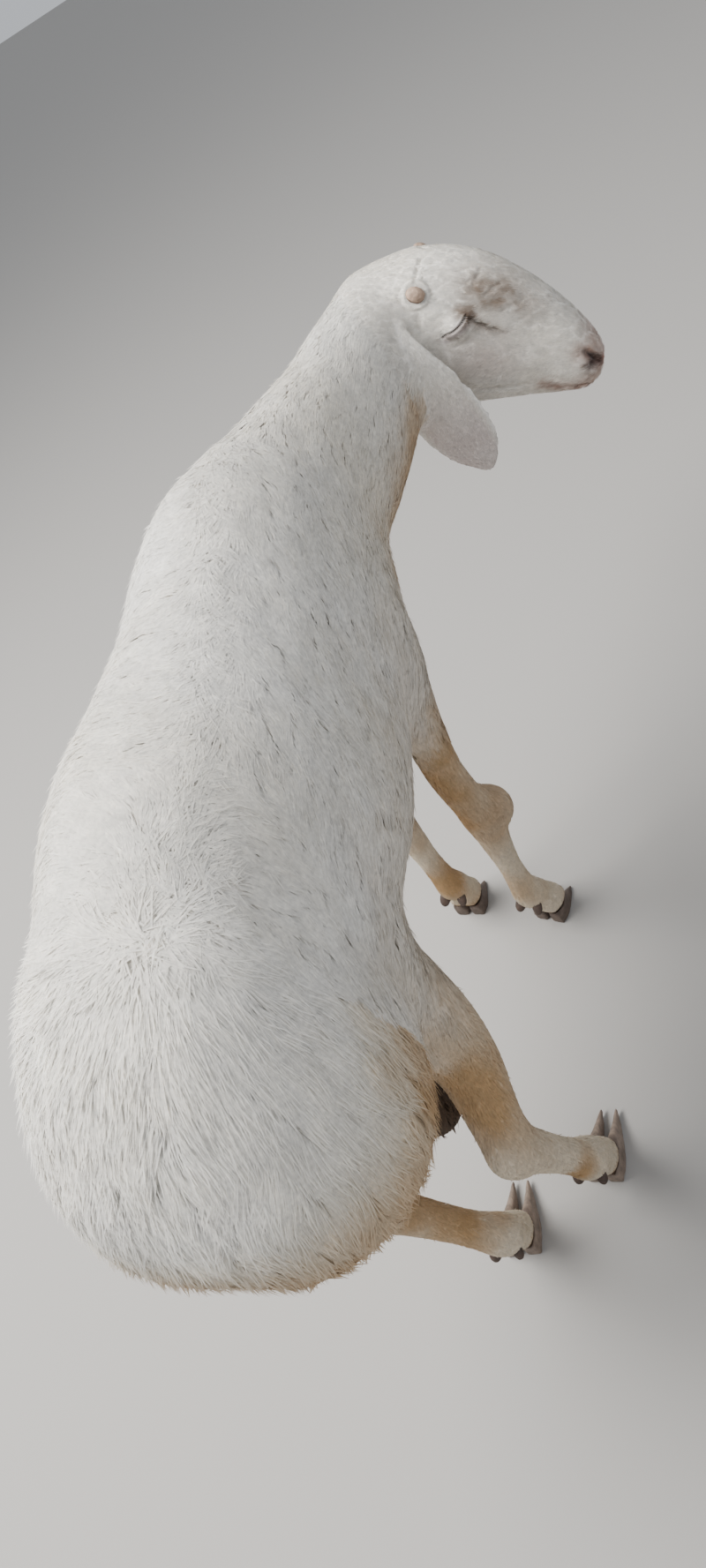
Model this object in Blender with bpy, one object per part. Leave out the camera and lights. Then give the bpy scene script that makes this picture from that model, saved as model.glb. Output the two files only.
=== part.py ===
"""Life-size standing sheep, a fat-tailed ram with lop ears, as a still museum model.

The body is lofted from a few named stations for each part, joined into one
closed form, smoothed, and then parted by thin cuts into trunk, neck, head,
tail and legs. Ears, eyes, horn buds, claws and dewclaws are their own solids.
Work frame: X forward, Y to the animal's left, Z up, soles at Z = 0.
"""
import math

import bpy
import numpy as np
from mathutils import Matrix, Vector

# ---------------------------------------------------------------- driving sizes
CUT_GAP = 0.0003           # open gap left by every cut between two solids
VOXEL = 0.0058             # grain used while the lofted forms are joined
FLESH_TRIANGLES = 4150     # budget for all flesh together
RING_POINTS = 28           # points round each lofted section

HEAD_ORIGIN = Vector((0.588, -0.052, 0.800))    # just behind the poll
HEAD_AZIMUTH = math.radians(-85.0)              # turned to the animal's right
HEAD_PITCH = math.radians(-40.0)                # nose carried low
HEAD_ROLL = math.radians(0.0)

EYE_AT = (0.106, 0.0520, 0.014)      # along the head, to the side, up
EYE_RADIUS = 0.0150
HORN_AT = (0.048, 0.049, 0.038)
HORN_RADIUS = 0.0125
EAR_LENGTH = 0.252
EAR_WIDTH = 0.096
EAR_THICKNESS = 0.0085

FRONT_CLAW = {"length": 0.062, "width": 0.0255, "height": 0.040, "rise": 0.000}
HIND_CLAW = {"length": 0.094, "width": 0.0240, "height": 0.040, "rise": 0.005}
CLAW_HEEL = -0.024         # how far the heel reaches behind the foot's middle
CLAW_SPACING = 0.0275      # between the middles of the two claws of a foot
DEWCLAW_RADIUS = 0.0085

# trunk: x, y of the middle, top, bottom, half width
TRUNK = [
    (-0.430, -0.006, 0.790, 0.610, 0.066),
    (-0.390, -0.005, 0.830, 0.575, 0.100),
    (-0.320, -0.001, 0.864, 0.550, 0.130),
    (-0.235, 0.010, 0.887, 0.540, 0.145),
    (-0.125, 0.020, 0.880, 0.519, 0.158),
    (-0.034, 0.029, 0.869, 0.502, 0.149),
    (0.064, 0.042, 0.870, 0.500, 0.137),
    (0.150, 0.043, 0.890, 0.504, 0.122),
    (0.230, 0.037, 0.878, 0.524, 0.104),
    (0.300, 0.030, 0.838, 0.570, 0.080),
    (0.335, 0.026, 0.790, 0.630, 0.050),
]
# fat tail as level slices: z, x of the middle, half length, half width
TAIL = [
    (0.852, -0.316, 0.040, 0.055),
    (0.826, -0.332, 0.084, 0.100),
    (0.780, -0.350, 0.123, 0.128),
    (0.720, -0.366, 0.151, 0.155),
    (0.660, -0.376, 0.159, 0.172),
    (0.605, -0.380, 0.155, 0.177),
    (0.560, -0.386, 0.135, 0.160),
    (0.526, -0.394, 0.100, 0.132),
    (0.507, -0.399, 0.064, 0.088),
    (0.495, -0.401, 0.032, 0.046),
]
TAIL_MIDDLE_Y = -0.009
TAIL_CLEFT = 0.10          # how deep the rear groove parts the two lobes

# neck: x, y, z, half width, half height
NECK = [
    (0.200, 0.036, 0.735, 0.104, 0.150),
    (0.290, 0.027, 0.737, 0.087, 0.122),
    (0.370, 0.009, 0.727, 0.080, 0.117),
    (0.450, -0.012, 0.734, 0.072, 0.102),
    (0.520, -0.029, 0.743, 0.066, 0.094),
    (0.580, -0.044, 0.751, 0.061, 0.084),
]
# head: along, top, bottom, half width, squareness
HEAD = [
    (-0.040, 0.006, -0.052, 0.038, 2.0),
    (-0.010, 0.034, -0.088, 0.051, 2.0),
    (0.030, 0.060, -0.110, 0.058, 2.2),
    (0.070, 0.075, -0.121, 0.0600, 2.4),
    (0.110, 0.081, -0.123, 0.0570, 2.4),
    (0.150, 0.077, -0.116, 0.0490, 2.4),
    (0.190, 0.066, -0.100, 0.0410, 2.4),
    (0.230, 0.050, -0.084, 0.0350, 2.4),
    (0.265, 0.032, -0.072, 0.0320, 2.4),
    (0.290, 0.014, -0.062, 0.0285, 2.3),
    (0.307, -0.008, -0.046, 0.0180, 2.0),
]
# limbs from the top down: x, y, z, half fore-aft, half width
FORE_RIGHT = [
    (0.182, -0.038, 0.690, 0.060, 0.040),
    (0.162, -0.046, 0.600, 0.050, 0.038),
    (0.140, -0.044, 0.520, 0.037, 0.030),
    (0.130, -0.036, 0.440, 0.028, 0.025),
    (0.138, -0.032, 0.360, 0.025, 0.023),
    (0.152, -0.031, 0.312, 0.033, 0.031),
    (0.153, -0.024, 0.270, 0.026, 0.024),
    (0.155, -0.014, 0.190, 0.018, 0.018),
    (0.160, -0.007, 0.125, 0.019, 0.020),
    (0.166, -0.005, 0.092, 0.025, 0.026),
    (0.182, -0.006, 0.062, 0.021, 0.024),
    (0.192, -0.008, 0.036, 0.022, 0.025),
]
FORE_LEFT = [
    (0.195, 0.110, 0.690, 0.062, 0.040),
    (0.184, 0.122, 0.600, 0.052, 0.040),
    (0.172, 0.120, 0.520, 0.038, 0.031),
    (0.168, 0.114, 0.440, 0.028, 0.025),
    (0.172, 0.112, 0.360, 0.024, 0.023),
    (0.180, 0.112, 0.312, 0.028, 0.027),
    (0.181, 0.113, 0.270, 0.023, 0.022),
    (0.184, 0.116, 0.190, 0.018, 0.018),
    (0.189, 0.120, 0.125, 0.019, 0.020),
    (0.196, 0.122, 0.092, 0.025, 0.026),
    (0.211, 0.126, 0.062, 0.021, 0.024),
    (0.220, 0.129, 0.036, 0.022, 0.025),
]
HIND_RIGHT = [
    (-0.275, -0.056, 0.720, 0.100, 0.060),
    (-0.256, -0.076, 0.650, 0.106, 0.064),
    (-0.240, -0.088, 0.560, 0.069, 0.048),
    (-0.234, -0.102, 0.490, 0.053, 0.038),
    (-0.250, -0.114, 0.420, 0.040, 0.032),
    (-0.286, -0.124, 0.365, 0.032, 0.026),
    (-0.300, -0.128, 0.322, 0.033, 0.025),
    (-0.286, -0.125, 0.280, 0.027, 0.022),
    (-0.263, -0.122, 0.210, 0.023, 0.020),
    (-0.240, -0.119, 0.140, 0.023, 0.021),
    (-0.224, -0.117, 0.094, 0.028, 0.027),
    (-0.209, -0.113, 0.062, 0.024, 0.025),
    (-0.198, -0.109, 0.036, 0.024, 0.026),
]
HIND_LEFT = [
    (-0.275, 0.056, 0.720, 0.100, 0.060),
    (-0.258, 0.080, 0.650, 0.106, 0.064),
    (-0.230, 0.088, 0.560, 0.082, 0.050),
    (-0.236, 0.084, 0.490, 0.060, 0.040),
    (-0.276, 0.070, 0.420, 0.040, 0.032),
    (-0.333, 0.050, 0.365, 0.032, 0.026),
    (-0.354, 0.038, 0.322, 0.033, 0.025),
    (-0.350, 0.030, 0.280, 0.027, 0.022),
    (-0.338, 0.014, 0.210, 0.023, 0.020),
    (-0.326, -0.006, 0.140, 0.023, 0.021),
    (-0.316, -0.016, 0.094, 0.028, 0.027),
    (-0.302, -0.010, 0.062, 0.024, 0.025),
    (-0.291, -0.005, 0.036, 0.024, 0.026),
]
# feet: x, y under the last limb station, turn from straight ahead, claw sizes, limb
FEET = {
    "fore_right": (0.194, -0.008, math.radians(-18.0), FRONT_CLAW, FORE_RIGHT),
    "fore_left": (0.222, 0.130, math.radians(-6.0), FRONT_CLAW, FORE_LEFT),
    "hind_right": (-0.196, -0.108, math.radians(0.0), HIND_CLAW, HIND_RIGHT),
    "hind_left": (-0.289, -0.004, math.radians(8.0), HIND_CLAW, HIND_LEFT),
}

for old in list(bpy.data.objects):
    bpy.data.objects.remove(old, do_unlink=True)

scene = bpy.context.scene


# ---------------------------------------------------------------- small helpers
def material(name, colour, roughness):
    mat = bpy.data.materials.new(name)
    mat.use_nodes = True
    shader = mat.node_tree.nodes["Principled BSDF"]
    shader.inputs["Base Color"].default_value = (*colour, 1.0)
    shader.inputs["Roughness"].default_value = roughness
    return mat


def curve_through(stations, steps=4):
    """Smooth rows between the given stations (Catmull-Rom)."""
    rows = np.array(stations, dtype=float)
    out = []
    last = len(rows) - 1
    for i in range(last):
        before, here = rows[max(i - 1, 0)], rows[i]
        there, after = rows[i + 1], rows[min(i + 2, last)]
        for k in range(steps):
            t = k / steps
            out.append(0.5 * (2 * here + (there - before) * t
                              + (2 * before - 5 * here + 4 * there - after) * t * t
                              + (3 * here - before - 3 * there + after) * t ** 3))
    out.append(rows[-1])
    return np.array(out)


def loft(name, rings):
    """Closed skin over a list of rings, with a point at each end."""
    count = len(rings[0])
    verts = [tuple(p) for ring in rings for p in ring]
    faces = []
    for i in range(len(rings) - 1):
        for k in range(count):
            a, b = i * count + k, i * count + (k + 1) % count
            faces.append((a, b, b + count, a + count))
    verts.append(tuple(np.mean(rings[0], axis=0)))
    verts.append(tuple(np.mean(rings[-1], axis=0)))
    start, end, base = len(verts) - 2, len(verts) - 1, (len(rings) - 1) * count
    for k in range(count):
        faces.append((start, (k + 1) % count, k))
        faces.append((end, base + k, base + (k + 1) % count))
    mesh = bpy.data.meshes.new(name)
    mesh.from_pydata(verts, [], faces)
    obj = bpy.data.objects.new(name, mesh)
    scene.collection.objects.link(obj)
    face_outward(obj)
    return obj


def signed_volume(mesh):
    total = 0.0
    for poly in mesh.polygons:
        first = mesh.vertices[poly.vertices[0]].co
        for i in range(1, len(poly.vertices) - 1):
            second = mesh.vertices[poly.vertices[i]].co
            third = mesh.vertices[poly.vertices[i + 1]].co
            total += first.dot(second.cross(third)) / 6.0
    return total


def face_outward(obj):
    if signed_volume(obj.data) < 0.0:
        obj.data.flip_normals()


def rounded(angle, squareness):
    """Unit superellipse point at an angle."""
    c, s = math.cos(angle), math.sin(angle)
    power = 2.0 / squareness
    return (math.copysign(abs(c) ** power, c), math.copysign(abs(s) ** power, s))


def angles(count=RING_POINTS):
    return [2.0 * math.pi * k / count for k in range(count)]


def applied(obj):
    """Bake the object's modifiers into its mesh."""
    graph = bpy.context.evaluated_depsgraph_get()
    mesh = bpy.data.meshes.new_from_object(obj.evaluated_get(graph))
    obj.modifiers.clear()
    obj.data = mesh
    return obj


def boolean(obj, cutter, operation):
    mod = obj.modifiers.new("cut", "BOOLEAN")
    mod.operation = operation
    mod.solver = "EXACT"
    mod.object = cutter
    return applied(obj)


def box(name, centre, axes, size):
    """Oriented box; axes are three unit vectors, size the full lengths."""
    corners = []
    for i in (-0.5, 0.5):
        for j in (-0.5, 0.5):
            for k in (-0.5, 0.5):
                corner = Vector(centre)
                for axis, amount, length in zip(axes, (i, j, k), size):
                    corner = corner + Vector(axis) * amount * length
                corners.append(tuple(corner))
    faces = [(0, 1, 3, 2), (4, 6, 7, 5), (0, 4, 5, 1), (2, 3, 7, 6), (0, 2, 6, 4), (1, 5, 7, 3)]
    mesh = bpy.data.meshes.new(name)
    mesh.from_pydata(corners, [], faces)
    obj = bpy.data.objects.new(name, mesh)
    scene.collection.objects.link(obj)
    face_outward(obj)
    return obj


def slab(centre, normal, width, height):
    """Thin cutter square to a normal, one gap thick."""
    normal = Vector(normal).normalized()
    side = normal.cross(Vector((0.0, 0.0, 1.0)))
    if side.length < 0.2:
        side = normal.cross(Vector((0.0, 1.0, 0.0)))
    side.normalize()
    up = side.cross(normal).normalized()
    return box("slab", centre, (normal, side, up), (CUT_GAP, width, height))


# ---------------------------------------------------------------- head frame
forward = Vector((math.cos(HEAD_PITCH) * math.cos(HEAD_AZIMUTH),
                  math.cos(HEAD_PITCH) * math.sin(HEAD_AZIMUTH),
                  math.sin(HEAD_PITCH)))
level_left = Vector((0.0, 0.0, 1.0)).cross(forward).normalized()
level_up = forward.cross(level_left).normalized()
HEAD_LEFT = (level_left * math.cos(HEAD_ROLL) + level_up * math.sin(HEAD_ROLL)).normalized()
HEAD_UP = forward.cross(HEAD_LEFT).normalized()


def in_head(along, left, up):
    return HEAD_ORIGIN + forward * along + HEAD_LEFT * left + HEAD_UP * up


# ---------------------------------------------------------------- lofted forms
def trunk_form():
    rings = []
    for x, y, top, bottom, half in curve_through(TRUNK):
        middle = bottom + 0.47 * (top - bottom)
        ring = []
        for a in angles():
            c, s = rounded(a, 2.25)
            rise = (top - middle) if s > 0 else (middle - bottom)
            narrow = 1.0 - 0.10 * max(s, 0.0) ** 2
            ring.append((x, y + half * c * narrow, middle + rise * s))
        rings.append(ring)
    return loft("trunk_form", rings)


def tail_form():
    rings = []
    low, high = TAIL[-1][0], TAIL[0][0]
    for z, x, half_long, half_wide in curve_through(TAIL):
        fall = (high - z) / (high - low)
        ring = []
        for a in angles():
            c, s = rounded(a, 2.15)
            behind = math.exp(-(((a - math.pi) / 0.22) ** 2))
            groove = 1.0 - TAIL_CLEFT * behind * min(1.0, max(0.0, (fall - 0.25) * 1.8))
            ring.append((x + half_long * c * groove, TAIL_MIDDLE_Y + half_wide * s, z))
        rings.append(ring)
    return loft("tail_form", rings)


def swept(name, stations, forward_hint, steps=4, around=RING_POINTS):
    """Sections square to a path; the last two columns are half depth, half width."""
    rows = curve_through(stations, steps)
    points = rows[:, :3]
    path = np.gradient(points, axis=0)
    rings = []
    hint = Vector(forward_hint).normalized()
    for (x, y, z, deep, wide), step in zip(rows, path):
        run = Vector(step).normalized()
        side = run.cross(hint).normalized()
        front = side.cross(run).normalized()
        ring = []
        for a in angles(around):
            c, s = rounded(a, 2.1)
            ring.append(Vector((x, y, z)) + front * (deep * c) + side * (wide * s))
        rings.append([tuple(p) for p in ring])
    return loft(name, rings)


def neck_form():
    stations = [(x, y, z, tall, wide) for x, y, z, wide, tall in NECK]
    return swept("neck_form", stations, (0.0, 0.0, 1.0))


def head_form():
    rings = []
    for along, top, bottom, half, square in curve_through(HEAD):
        middle = bottom + 0.56 * (top - bottom)
        ring = []
        for a in angles():
            c, s = rounded(a, square)
            rise = (top - middle) if s > 0 else (middle - bottom)
            narrow = 1.0 - 0.25 * max(-s, 0.0) ** 1.5 - 0.12 * max(s, 0.0) ** 2
            ring.append(tuple(in_head(along, half * c * narrow, middle + rise * s)))
        rings.append(ring)
    return loft("head_form", rings)


def ball(name, centre, axes, radii, around=16, along=10):
    """Ellipsoid on its own axes."""
    rings = []
    for i in range(1, along):
        polar = math.pi * i / along
        ring = []
        for k in range(around):
            a = 2.0 * math.pi * k / around
            point = (Vector(centre)
                     + Vector(axes[0]) * radii[0] * math.cos(polar)
                     + Vector(axes[1]) * radii[1] * math.sin(polar) * math.cos(a)
                     + Vector(axes[2]) * radii[2] * math.sin(polar) * math.sin(a))
            ring.append(tuple(point))
        rings.append(ring)
    obj = loft(name, rings)
    for end, sign in ((-2, 1.0), (-1, -1.0)):
        tip = Vector(centre) + Vector(axes[0]) * radii[0] * sign
        obj.data.vertices[len(obj.data.vertices) + end].co = tip
    return obj


HEAD_AXES = (forward, HEAD_LEFT, HEAD_UP)
WORLD_AXES = (Vector((1, 0, 0)), Vector((0, 1, 0)), Vector((0, 0, 1)))


def head_lumps():
    """Brow, cheek, muzzle and ear root on each side."""
    lumps = []
    for side in (-1.0, 1.0):
        eye = EYE_AT
        lumps.append(ball("brow", in_head(eye[0] - 0.004, side * (eye[1] - 0.013), eye[2] + 0.008),
                          HEAD_AXES, (0.030, 0.020, 0.024)))
        lumps.append(ball("cheek", in_head(0.085, side * 0.038, -0.040),
                          HEAD_AXES, (0.055, 0.022, 0.036)))
        lumps.append(ball("muzzle", in_head(0.272, side * 0.015, -0.014),
                          HEAD_AXES, (0.030, 0.017, 0.026)))
        lumps.append(ball("ear_root", in_head(0.020, side * 0.048, 0.004),
                          HEAD_AXES, (0.026, 0.020, 0.022)))
        lumps.append(ball("horn_root", in_head(0.044, side * 0.037, 0.036),
                          HEAD_AXES, (0.022, 0.015, 0.018)))
    return lumps


def body_lumps():
    """Shoulder blades, haunches, heels and the rear of each knee and hock."""
    lumps = []
    for side, y in ((-1.0, 0.040), (1.0, 0.042)):
        lumps.append(ball("shoulder", (0.182, y + side * 0.076, 0.715), WORLD_AXES,
                          (0.080, 0.038, 0.125)))
        lumps.append(ball("haunch", (-0.262, 0.004 + side * 0.082, 0.668), WORLD_AXES,
                          (0.118, 0.068, 0.140)))
    lumps.append(ball("brisket", (0.222, 0.030, 0.620), WORLD_AXES, (0.085, 0.066, 0.090)))
    lumps.append(ball("swollen_knee", (0.160, -0.046, 0.306), WORLD_AXES, (0.028, 0.026, 0.036)))
    for name, station in (("right", HIND_RIGHT[6]), ("left", HIND_LEFT[6])):
        x, y, z = station[:3]
        lumps.append(ball("hock_point_" + name, (x - 0.022, y, z + 0.018), WORLD_AXES,
                          (0.019, 0.018, 0.030)))
    return lumps


def foot_lumps():
    """Two toe bulbs over the claws of each foot."""
    lumps = []
    for x, y, turn, claw, limb in FEET.values():
        ahead = Vector((math.cos(turn), math.sin(turn), 0.0))
        left = Vector((-math.sin(turn), math.cos(turn), 0.0))
        for side in (-1.0, 1.0):
            centre = Vector((x, y, 0.036)) + left * side * CLAW_SPACING * 0.5 - ahead * 0.004
            lumps.append(ball("toe_bulb", centre, (ahead, left, Vector((0, 0, 1))),
                              (0.029, 0.0145, 0.020)))
    return lumps


def scrotum_form():
    """Pouch hanging from the groin: x, y, z, half depth, half width from the top down."""
    stations = [(-0.222, 0.000, 0.575, 0.020, 0.020), (-0.228, -0.006, 0.520, 0.026, 0.024),
                (-0.236, -0.014, 0.460, 0.034, 0.031), (-0.243, -0.020, 0.400, 0.043, 0.040),
                (-0.248, -0.024, 0.345, 0.045, 0.042), (-0.250, -0.026, 0.305, 0.034, 0.032),
                (-0.251, -0.026, 0.285, 0.012, 0.012)]
    return swept("scrotum_form", stations, (1.0, 0.0, 0.0), 2, 12)


# ---------------------------------------------------------------- joining
def joined(name, forms):
    """One mesh holding all the forms' faces."""
    verts, faces = [], []
    for form in forms:
        start = len(verts)
        verts.extend(tuple(v.co) for v in form.data.vertices)
        faces.extend(tuple(start + i for i in p.vertices) for p in form.data.polygons)
        bpy.data.objects.remove(form, do_unlink=True)
    mesh = bpy.data.meshes.new(name)
    mesh.from_pydata(verts, [], faces)
    obj = bpy.data.objects.new(name, mesh)
    scene.collection.objects.link(obj)
    return obj


def near(points, centre, reach):
    away = np.linalg.norm(points - np.array(centre), axis=1)
    return np.exp(-((away / reach) ** 2))


def relax(obj, rounds, weight_of):
    """Laplacian smoothing with a weight for each place."""
    mesh = obj.data
    count = len(mesh.vertices)
    points = np.empty(count * 3)
    mesh.vertices.foreach_get("co", points)
    points = points.reshape(-1, 3)
    edges = np.empty(len(mesh.edges) * 2, dtype=int)
    mesh.edges.foreach_get("vertices", edges)
    edges = edges.reshape(-1, 2)
    degree = np.bincount(edges.ravel(), minlength=count)[:, None]
    weight = weight_of(points)[:, None]
    for _ in range(rounds):
        total = np.zeros_like(points)
        np.add.at(total, edges[:, 0], points[edges[:, 1]])
        np.add.at(total, edges[:, 1], points[edges[:, 0]])
        points = points + weight * (total / degree - points)
    mesh.vertices.foreach_set("co", points.ravel())
    mesh.update()


def softness(points):
    """Much smoothing on the bulk of the body, little on head and lower legs."""
    low = np.clip((points[:, 2] - 0.40) / 0.10, 0.0, 1.0)
    head = near(points, in_head(0.13, 0.0, 0.0), 0.15)
    return 0.05 + 0.57 * low * (1.0 - np.clip(head * 1.6, 0.0, 1.0))


forms = [trunk_form(), tail_form(), neck_form(), head_form()]
forms.append(swept("fore_right_form", FORE_RIGHT, (1.0, 0.0, 0.0)))
forms.append(swept("fore_left_form", FORE_LEFT, (1.0, 0.0, 0.0)))
forms.append(swept("hind_right_form", HIND_RIGHT, (1.0, 0.0, 0.0)))
forms.append(swept("hind_left_form", HIND_LEFT, (1.0, 0.0, 0.0)))
forms.extend(head_lumps())
forms.extend(body_lumps())
forms.extend(foot_lumps())
flesh = joined("flesh", forms)
remesh = flesh.modifiers.new("join", "REMESH")
remesh.mode = "VOXEL"
remesh.voxel_size = VOXEL
applied(flesh)
relax(flesh, 40, softness)
flesh.modifiers.new("triangles", "TRIANGULATE")
applied(flesh)
decimate = flesh.modifiers.new("thin", "DECIMATE")
decimate.ratio = FLESH_TRIANGLES / len(flesh.data.polygons)
applied(flesh)


# ---------------------------------------------------------------- separate solids
def inflated(source, amount):
    """Copy of a solid pushed out along its normals."""
    mesh = source.data.copy()
    mesh.update()
    offsets = [v.co + v.normal * amount for v in mesh.vertices]
    for vertex, place in zip(mesh.vertices, offsets):
        vertex.co = place
    obj = bpy.data.objects.new(source.name + "_grown", mesh)
    scene.collection.objects.link(obj)
    return obj


def claw(name, x, y, turn, side, sizes):
    """One claw: flat sole at Z = 0, arched wall, pointed toe."""
    ahead = Vector((math.cos(turn), math.sin(turn), 0.0))
    left = Vector((-math.sin(turn), math.cos(turn), 0.0))
    length, half = sizes["length"], sizes["width"] * 0.5
    heel = CLAW_HEEL
    rings = []
    steps = 6
    for i in range(steps + 1):
        t = i / steps
        along = heel + length * t
        taper = (1.0 - t ** 2.6) ** 0.75 if t < 1.0 else 0.0
        wide = max(half * (0.80 + 0.20 * math.sin(math.pi * min(t * 1.6, 1.0))) * taper, 0.0012)
        tall = max(sizes["height"] * (0.72 + 0.28 * math.sin(math.pi * min(t * 1.3, 1.0)))
                   * (1.0 - 0.80 * t ** 1.5), 0.004)
        lift = sizes["rise"] * max(0.0, (t - 0.62) / 0.38) ** 2
        inward = -side * 0.004 * t ** 2
        ring = []
        for k in range(10):
            a = 2.0 * math.pi * (k + 0.5) / 10
            c, s = rounded(a, 3.0)
            across = wide * c
            up = lift + (0.0 if s <= 0.0 else tall * s)
            if s < 0.0:
                across = wide * 0.96 * (1.0 if c > 0 else -1.0) * min(1.0, abs(c))
            ring.append(Vector((x, y, 0.0)) + ahead * along
                        + left * (side * CLAW_SPACING * 0.5 + inward + across)
                        + Vector((0, 0, up)))
        rings.append([tuple(p) for p in ring])
    return loft(name, rings)


def dewclaw(name, limb, turn, side):
    """Small horn cap low on the back of the fetlock."""
    ahead = Vector((math.cos(turn), math.sin(turn), 0.0))
    left = Vector((-math.sin(turn), math.cos(turn), 0.0))
    fetlock = Vector(limb[-3][:3]).lerp(Vector(limb[-2][:3]), 0.55)
    centre = fetlock - ahead * 0.0235 + left * side * 0.0150
    point = (ahead * -0.55 + Vector((0, 0, -0.84))).normalized()
    other = left.cross(point).normalized()
    return ball(name, centre, (point, left, other),
                (DEWCLAW_RADIUS * 1.5, DEWCLAW_RADIUS, DEWCLAW_RADIUS * 0.8), 8, 5)


def ear(name, side):
    """Long hanging leaf, hollowed toward the head."""
    root = in_head(0.020, side * 0.060, 0.002)
    out = HEAD_LEFT * side
    if side < 0:
        down = Vector((0.06, -0.16, -0.98)).normalized()
    else:
        down = Vector((0.10, 0.02, -0.99)).normalized()
    sideways = (forward - down * forward.dot(down)).normalized()
    face = down.cross(sideways).normalized()
    if face.dot(out) < 0.0:
        face = -face
    # t along the ear, half width, swing outward
    stations = [(0.00, 0.34, 0.000), (0.10, 0.50, 0.020), (0.25, 0.78, 0.027),
                (0.45, 0.96, 0.027), (0.62, 1.00, 0.023), (0.78, 0.84, 0.017),
                (0.90, 0.55, 0.012), (0.97, 0.28, 0.009), (1.00, 0.08, 0.008)]
    rings = []
    for t, share, swing in curve_through(stations, 2):
        half = EAR_WIDTH * 0.5 * share
        thick = EAR_THICKNESS * (1.0 - 0.45 * t) * min(1.0, 0.4 + share)
        centre = root + down * EAR_LENGTH * t + out * swing + sideways * (-0.013 * t)
        ring = []
        for k in range(12):
            a = 2.0 * math.pi * k / 12
            c, s = rounded(a, 2.3)
            cup = -0.20 * half * c * c
            ring.append(centre + sideways * half * c + face * (cup + thick * 0.5 * s + 0.10 * half))
        rings.append([tuple(p) for p in ring])
    return loft(name, rings)


def horn_bud(name, side):
    root = in_head(HORN_AT[0], side * HORN_AT[1], HORN_AT[2])
    tip = (HEAD_LEFT * side * 0.75 + HEAD_UP * 0.55 - forward * 0.30).normalized()
    across = tip.cross(forward).normalized()
    other = across.cross(tip).normalized()
    return ball(name, root, (tip, across, other),
                (HORN_RADIUS * 1.05, HORN_RADIUS * 0.80, HORN_RADIUS), 10, 6)


def eyeball(name, side):
    centre = in_head(EYE_AT[0], side * (EYE_AT[1] - 0.0045), EYE_AT[2])
    return ball(name, centre, (HEAD_LEFT * side, forward, HEAD_UP),
                (EYE_RADIUS, EYE_RADIUS, EYE_RADIUS), 12, 8)


grown = inflated(flesh, CUT_GAP)
pieces = {}
for label, side in (("right", -1.0), ("left", 1.0)):
    pieces["ear_" + label] = boolean(ear("ear_" + label, side), grown, "DIFFERENCE")
    pieces["horn_bud_" + label] = boolean(horn_bud("horn_bud_" + label, side), grown, "DIFFERENCE")
for foot, (x, y, turn, sizes, limb) in FEET.items():
    for label, side in (("right", -1.0), ("left", 1.0)):
        name = "claw_" + foot + "_" + label
        pieces[name] = boolean(claw(name, x, y, turn, side, sizes), grown, "DIFFERENCE")
        name = "dewclaw_" + foot + "_" + label
        pieces[name] = boolean(dewclaw(name, limb, turn, side), grown, "DIFFERENCE")
pieces["scrotum"] = boolean(scrotum_form(), grown, "DIFFERENCE")
pieces["scrotum"].name = "scrotum"
bpy.data.objects.remove(grown, do_unlink=True)
for label, side in (("right", -1.0), ("left", 1.0)):
    eye = eyeball("eye_" + label, side)
    socket = inflated(eye, CUT_GAP)
    boolean(flesh, socket, "DIFFERENCE")
    bpy.data.objects.remove(socket, do_unlink=True)
    pieces["eye_" + label] = eye


# ---------------------------------------------------------------- thin cuts
CUTS = [
    # middle of the cut, direction it is square to, width, height
    ((0.552, -0.019, 0.758), (0.653, -0.749, -0.105), 0.250, 0.330),
    ((0.310, 0.020, 0.750), (0.930, -0.050, 0.360), 0.380, 0.420),
    ((-0.322, -0.006, 0.682), (0.998, 0.000, 0.062), 0.520, 0.424),
    ((0.150, -0.045, 0.478), (0.0, 0.0, 1.0), 0.120, 0.150),
    ((0.170, 0.122, 0.478), (0.0, 0.0, 1.0), 0.120, 0.150),
    ((-0.225, -0.105, 0.488), (0.0, 0.0, 1.0), 0.190, 0.176),
    ((-0.230, 0.088, 0.488), (0.0, 0.0, 1.0), 0.186, 0.164),
    ((0.153, -0.026, 0.275), (0.0, 0.0, 1.0), 0.110, 0.110),
    ((0.181, 0.113, 0.275), (0.0, 0.0, 1.0), 0.110, 0.110),
    ((-0.296, -0.127, 0.298), (-0.20, 0.0, 0.98), 0.110, 0.110),
    ((-0.354, 0.034, 0.298), (-0.12, 0.0, 0.99), 0.110, 0.110),
]
for centre, normal, width, height in CUTS:
    cutter = slab(centre, normal, width, height)
    boolean(flesh, cutter, "DIFFERENCE")
    bpy.data.objects.remove(cutter, do_unlink=True)

# a point near the middle of each flesh piece names it
PLACES = {
    "trunk": (-0.02, 0.02, 0.70),
    "neck": (0.42, 0.00, 0.77),
    "head": (0.60, -0.14, 0.72),
    "tail": (-0.42, -0.01, 0.65),
    "foreleg_right_upper": (0.14, -0.035, 0.38),
    "foreleg_left_upper": (0.17, 0.115, 0.38),
    "hindleg_right_upper": (-0.24, -0.11, 0.42),
    "hindleg_left_upper": (-0.28, 0.07, 0.42),
    "foreleg_right_lower": (0.16, -0.01, 0.14),
    "foreleg_left_lower": (0.19, 0.12, 0.14),
    "hindleg_right_lower": (-0.25, -0.12, 0.16),
    "hindleg_left_lower": (-0.33, 0.00, 0.16),
}


def islands(mesh):
    """Vertex sets that hang together."""
    parent = list(range(len(mesh.vertices)))

    def root(i):
        while parent[i] != i:
            parent[i] = parent[parent[i]]
            i = parent[i]
        return i

    for edge in mesh.edges:
        a, b = root(edge.vertices[0]), root(edge.vertices[1])
        if a != b:
            parent[b] = a
    groups = {}
    for i in range(len(mesh.vertices)):
        groups.setdefault(root(i), []).append(i)
    return list(groups.values())


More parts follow.
